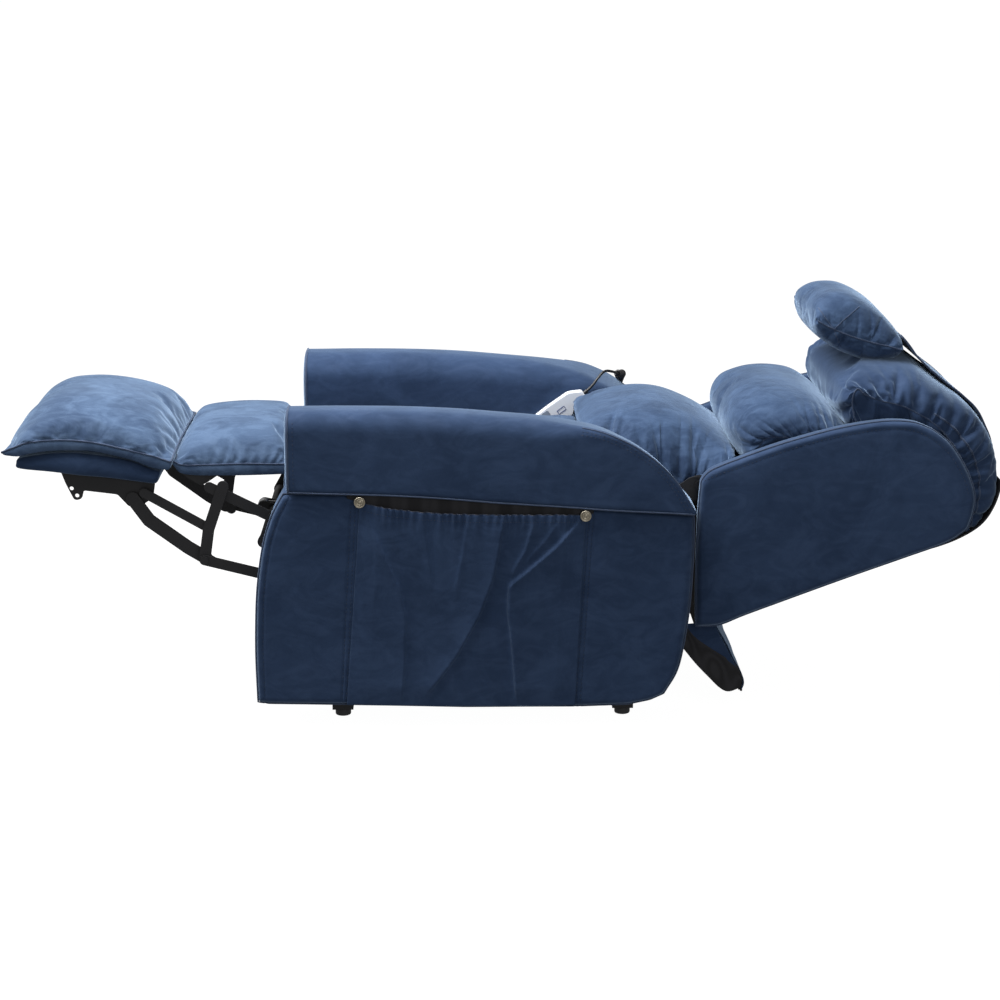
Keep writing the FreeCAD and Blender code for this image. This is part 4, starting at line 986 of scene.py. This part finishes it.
cap_points, cap_faces = [], []
for side_name, sign in SIDES:
    pocket(side_name, sign)
    for y, z in ((-172, 440), (247, 412.5)):
        snap(cap_points, cap_faces, y, z, sign)
caps = make("snap_caps", cap_points, cap_faces, "seat_frame", SLOTS["antique_nickel"])
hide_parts("pocket_snaps")


# ---------------- backrest covers
wing_front = yz("465,172 464,240 464,320 466,400 470,456")
wing_rear = yz("978,362 987,392 990,424 978,464 956,504 934,532 906,553")
wing_low = shared(yz("465,172 510,175 557,194 660,233 765,272 860,306 940,336 978,362"))
wing_high = shared(yz("470,456 486,476 540,499 612,525 680,545 737,559 790,568 832,571 872,567 906,553"))
WING_STITCH = yz("474,458 496,469 550,488 612,511 680,532 737,545 790,554 832,557 868,553 897,541 "
                 "924,521 945,497 966,461 977,424")


def wing_relief(y, z, inset):
    crown = 3.5 * (1 - np.exp(-np.maximum(inset - 14, 0) / 50))
    return waves(y, z, 3, 160, 1.6) + crown - 3.5 + groove(distance_to(np.stack([y, z], -1), WING_STITCH), 1.3, 4.0)


for side_name, sign in SIDES:
    grid = coons(wing_low, wing_high, shared(wing_front), shared(wing_rear), np.linspace(0, 1, 104),
                 np.linspace(0, 1, 66))
    wing, edge = panel(f"wing_cover_{side_name}", "backrest", grid, WING_FACES, sign, 11, wing_relief,
                       f"back_wing_{side_name}")
    subdivide(wing)
    tube(f"wing_welt_{side_name}", edge, 1.9, "backrest", closed=True)
    stitches(f"wing_stitches_{side_name}", [cast(wing, smooth_line(WING_STITCH, 150), sign)], "backrest")


def strip(name, line, half, body, material, thickness, node, count=90, wide=64,
          ripple=1.5, seed=1, inner=None, taper=0.0):
    """A wide sheet that follows a side-view line."""
    path = smooth_line(line, count)
    ahead = unit(np.gradient(path, axis=0))
    normal = np.stack([-ahead[:, 1], ahead[:, 0]], 1)
    x = np.linspace(-half if inner is None else inner, half, wide)
    narrow = 1 - taper * np.clip((np.linspace(0, 1, count) - 0.72) / 0.28, 0, 1) ** 2
    swell = ripple * np.array([[noise.noise(Vector((a / 90.0 + seed, b / 7.0, seed * 3.3))) for a in x]
                               for b in range(count)])
    spots = path[:, None, :] + normal[:, None, :] * (swell + thickness / 2)[..., None]
    points = np.dstack([narrow[:, None] * x[None, :], spots]).reshape(-1, 3)
    index = np.arange(count * wide).reshape(count, wide)
    obj = make(name, points, grid_faces(index), body, material)
    thicken(obj, thickness * 0.0005, 0.0)
    if node:
        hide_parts(node)
    return obj, index


back_line = yz("484,170 508,172 620,208 766,262 860,298 930,318 978,336 1016,362 1042,398 1056,440")
rear_cover, rear_index = strip("rear_lining", back_line, 250, "backrest", LINING, 5, "back_panel",
                               ripple=2.0,
                               seed=4, taper=0.09)
for k, side_name in ((0, "right"), (-1, "left")):
    tube(f"rear_lining_hem_{side_name}", row(rear_cover, rear_index[:, k]), 2.2, "backrest", LINING)
for column, side_name in ((3, "right"), (-4, "left")):
    tube(f"head_cushion_welt_{side_name}", row(head, head_upper[78:, column]), 1.8, "backrest")
deck, _, _ = cushion(
    "back_deck", "backrest", SUEDE,
    top=yz("470,448 480,456 560,459 650,466 760,474 860,462 940,436 992,400"),
    bottom=yz("470,448 480,441 560,442 650,450 760,458 860,447 940,420 992,400"),
    side=yz("472,448 560,450 650,458 760,466 860,455 940,428 990,401"),
    half=249, stations=ended(249, 8, 30, 5), count=60)
soften(deck, 2.0, 60, 9)
# Black lining aprons in the gap between the arm rolls and the wings: real sheets that close the view through, drawn
# black as painted shade, for the shadow in that gap.
for side_name, near, far in (("left", 110, 243), ("right", -110, -243)):
    strip(f"back_apron_{side_name}", yz("473,446 470,400 469,320 470,240 472,178 470,148"), far, "backrest", LINING,
          3, None, count=50, wide=20, ripple=1.0,
          seed=15, inner=near)

flap_line = yz("864,707 878,692 898,666 924,641 956,614 990,588 1022,553 1042,510 1052,468 1055,432 1050,398")
flap, flap_index = strip("neck_flap", flap_line, 140, "backrest", SUEDE_PAINTED_LIT_TOP, 4, "head_flap",
                         ripple=1.5, seed=8, wide=44)
for k, side_name in ((0, "right"), (-1, "left")):
    tube(f"neck_flap_hem_{side_name}", row(flap, flap_index[:, k]), 2.0, "backrest")
    inner = flap_index[:, 2 if k == 0 else -3]
    stitches(f"neck_flap_stitches_{side_name}", [row(flap, inner) + np.array([0, 0.0006, 0.0016])], "backrest", 4, 2.5)


# ---------------- rear skirt
skirt_line = yz("500,170 508,156 525,126 541,94 555,66 560,48 556,34")
skirt, skirt_index = strip("skirt_cloth", skirt_line, 250, "rear_skirt", SUEDE, 4, "rear_skirt",
                           count=44, ripple=2.0, seed=12)
strip("skirt_backing", [(y - 3.5, z - 1.0) for y, z in skirt_line], 247, "rear_skirt", LINING, 3,
      None, count=44, ripple=1.5, seed=12)
tube("skirt_hem", row(skirt, skirt_index[-1]), 2.6, "rear_skirt", LINING)


def skirt_side(side_name, sign):
    """The turned-in end of the skirt: suede above its crease, backing below."""
    for name, material, slot_name, upper, lower, x_high, x_low in (
            ("suede", SUEDE, "blue_suede", yz("500,171 508,157 525,126 541,94 549,80"),
             yz("444,166 466,136 498,112 526,94 549,80"), 250, 248),
            ("backing", LINING, "black_lining", yz("444,172 466,142 498,118 526,100 549,84 561,56"),
             yz("442,120 468,88 494,60 516,38 534,30 558,38"), 248.5, 247)):
        a, b = smooth_line(upper, 40), smooth_line(lower, 40)
        v = np.linspace(0, 1, 16)[None, :, None]
        grid = a[:, None] * (1 - v) + b[:, None] * v
        x = x_high + (x_low - x_high) * v[..., 0] - 1.6 * np.sin(grid[..., 0] / 19.0) ** 2 * np.sin(math.pi * v[..., 0])
        points = np.dstack([x, grid]).reshape(-1, 3) * np.array([sign, 1, 1])
        index = np.arange(40 * 16).reshape(40, 16)
        obj = make(f"skirt_side_{name}_{side_name}", points, grid_faces(index), "rear_skirt", material)
        thicken(obj, 0.0022)


for side_name, sign in SIDES:
    skirt_side(side_name, sign)


# ---------------- hand control details
HANDSET_LENGTH = 165.0
HANDSET_TOP = (275.0, 528.0)
HANDSET_LEAN = math.radians(36.0)


def on_handset(along, across, x=-230.2):
    """A point on the hand control's near face: along is up from its lower end, across is to its rear."""
    c, s = math.cos(HANDSET_LEAN), math.sin(HANDSET_LEAN)
    foot_y, foot_z = HANDSET_TOP[0] - HANDSET_LENGTH * c, HANDSET_TOP[1] - HANDSET_LENGTH * s
    return (x, foot_y + along * c + across * s, foot_z + along * s - across * c)


MARK = finish_of("mark_blue", (0.02, 0.035, 0.16), 0.1, (0.35, 0.5), 500.0, 0.0001)
corners = [(98, -4), (116, -4), (116, 4), (98, 4)]
outline = []
for (a, b), (c, d) in zip(corners, corners[1:] + corners[:1]):
    outline += [on_handset(a + (c - a) * t, b + (d - b) * t) for t in np.linspace(0, 1, 8, endpoint=False)]
tube("handset_mark", [spot(*p) for p in outline], 0.55, "seat_frame", MARK, closed=True)
boot = [on_handset(HANDSET_LENGTH + t, 0, -239.5 - t * 0.15) for t in np.linspace(-2, 9, 12)]
tube("handset_boot", [spot(*p) for p in boot], 4.2, "seat_frame", SLOTS["cord_rubber"], sides=14)


# ---------------- floor, light
ROOM = 90
WALL_SIDES = 64
floor_mesh = bpy.data.meshes.new("floor")
floor_mesh.from_pydata([(x * ROOM, y * ROOM, -0.001) for x, y in ((-1, -1), (1, -1), (1, 1), (-1, 1))], [],
                       [(0, 1, 2, 3)])
floor = placed("floor", floor_mesh)
pale = Nodes("pale_floor")
pale.finish((0.06, 0.06, 0.06, 1.0), 0.9, None, Emission_Color=(1, 1, 1, 1), Emission_Strength=0.985)
floor_mesh.materials.append(pale.material)
floor.visible_diffuse = False
floor.visible_glossy = False

turns = np.linspace(0, 2 * math.pi, WALL_SIDES, endpoint=False)
wall_mesh = bpy.data.meshes.new("backdrop")
wall_mesh.from_pydata([(ROOM * math.cos(t), ROOM * math.sin(t), z) for z in (-0.5, 60.0) for t in turns], [],
                      ring_faces(2, WALL_SIDES, capped=False))
wall_mesh.materials.append(pale.material)
backdrop = placed("backdrop", wall_mesh)
backdrop.visible_diffuse = backdrop.visible_glossy = backdrop.visible_shadow = backdrop.visible_transmission = False

world = bpy.data.worlds.new("studio")
world.use_nodes = True
sky = world.node_tree.nodes["Background"].inputs
sky[0].default_value = (1.0, 1.0, 1.0, 1.0)
sky[1].default_value = 0.30
scene.world = world


def softbox(name, at, towards, size, power):
    lamp = bpy.data.lights.new(name, "AREA")
    lamp.shape = "RECTANGLE"
    lamp.size, lamp.size_y = size
    lamp.energy = power
    obj = placed(name, lamp)
    obj.location = at
    obj.rotation_euler = (Vector(towards) - Vector(at)).to_track_quat("-Z", "Y").to_euler()


softbox("overhead", (0.1, -0.8, 3.0), (0, 0, 0.4), (2.2, 2.4), 205)
softbox("front", (0.6, -3.2, 2.4), (0, -0.6, 0.5), (2.0, 1.6), 40)
softbox("fill", (4.0, 1.2, 1.6), (0, 0.2, 0.4), (2.0, 2.0), 29)
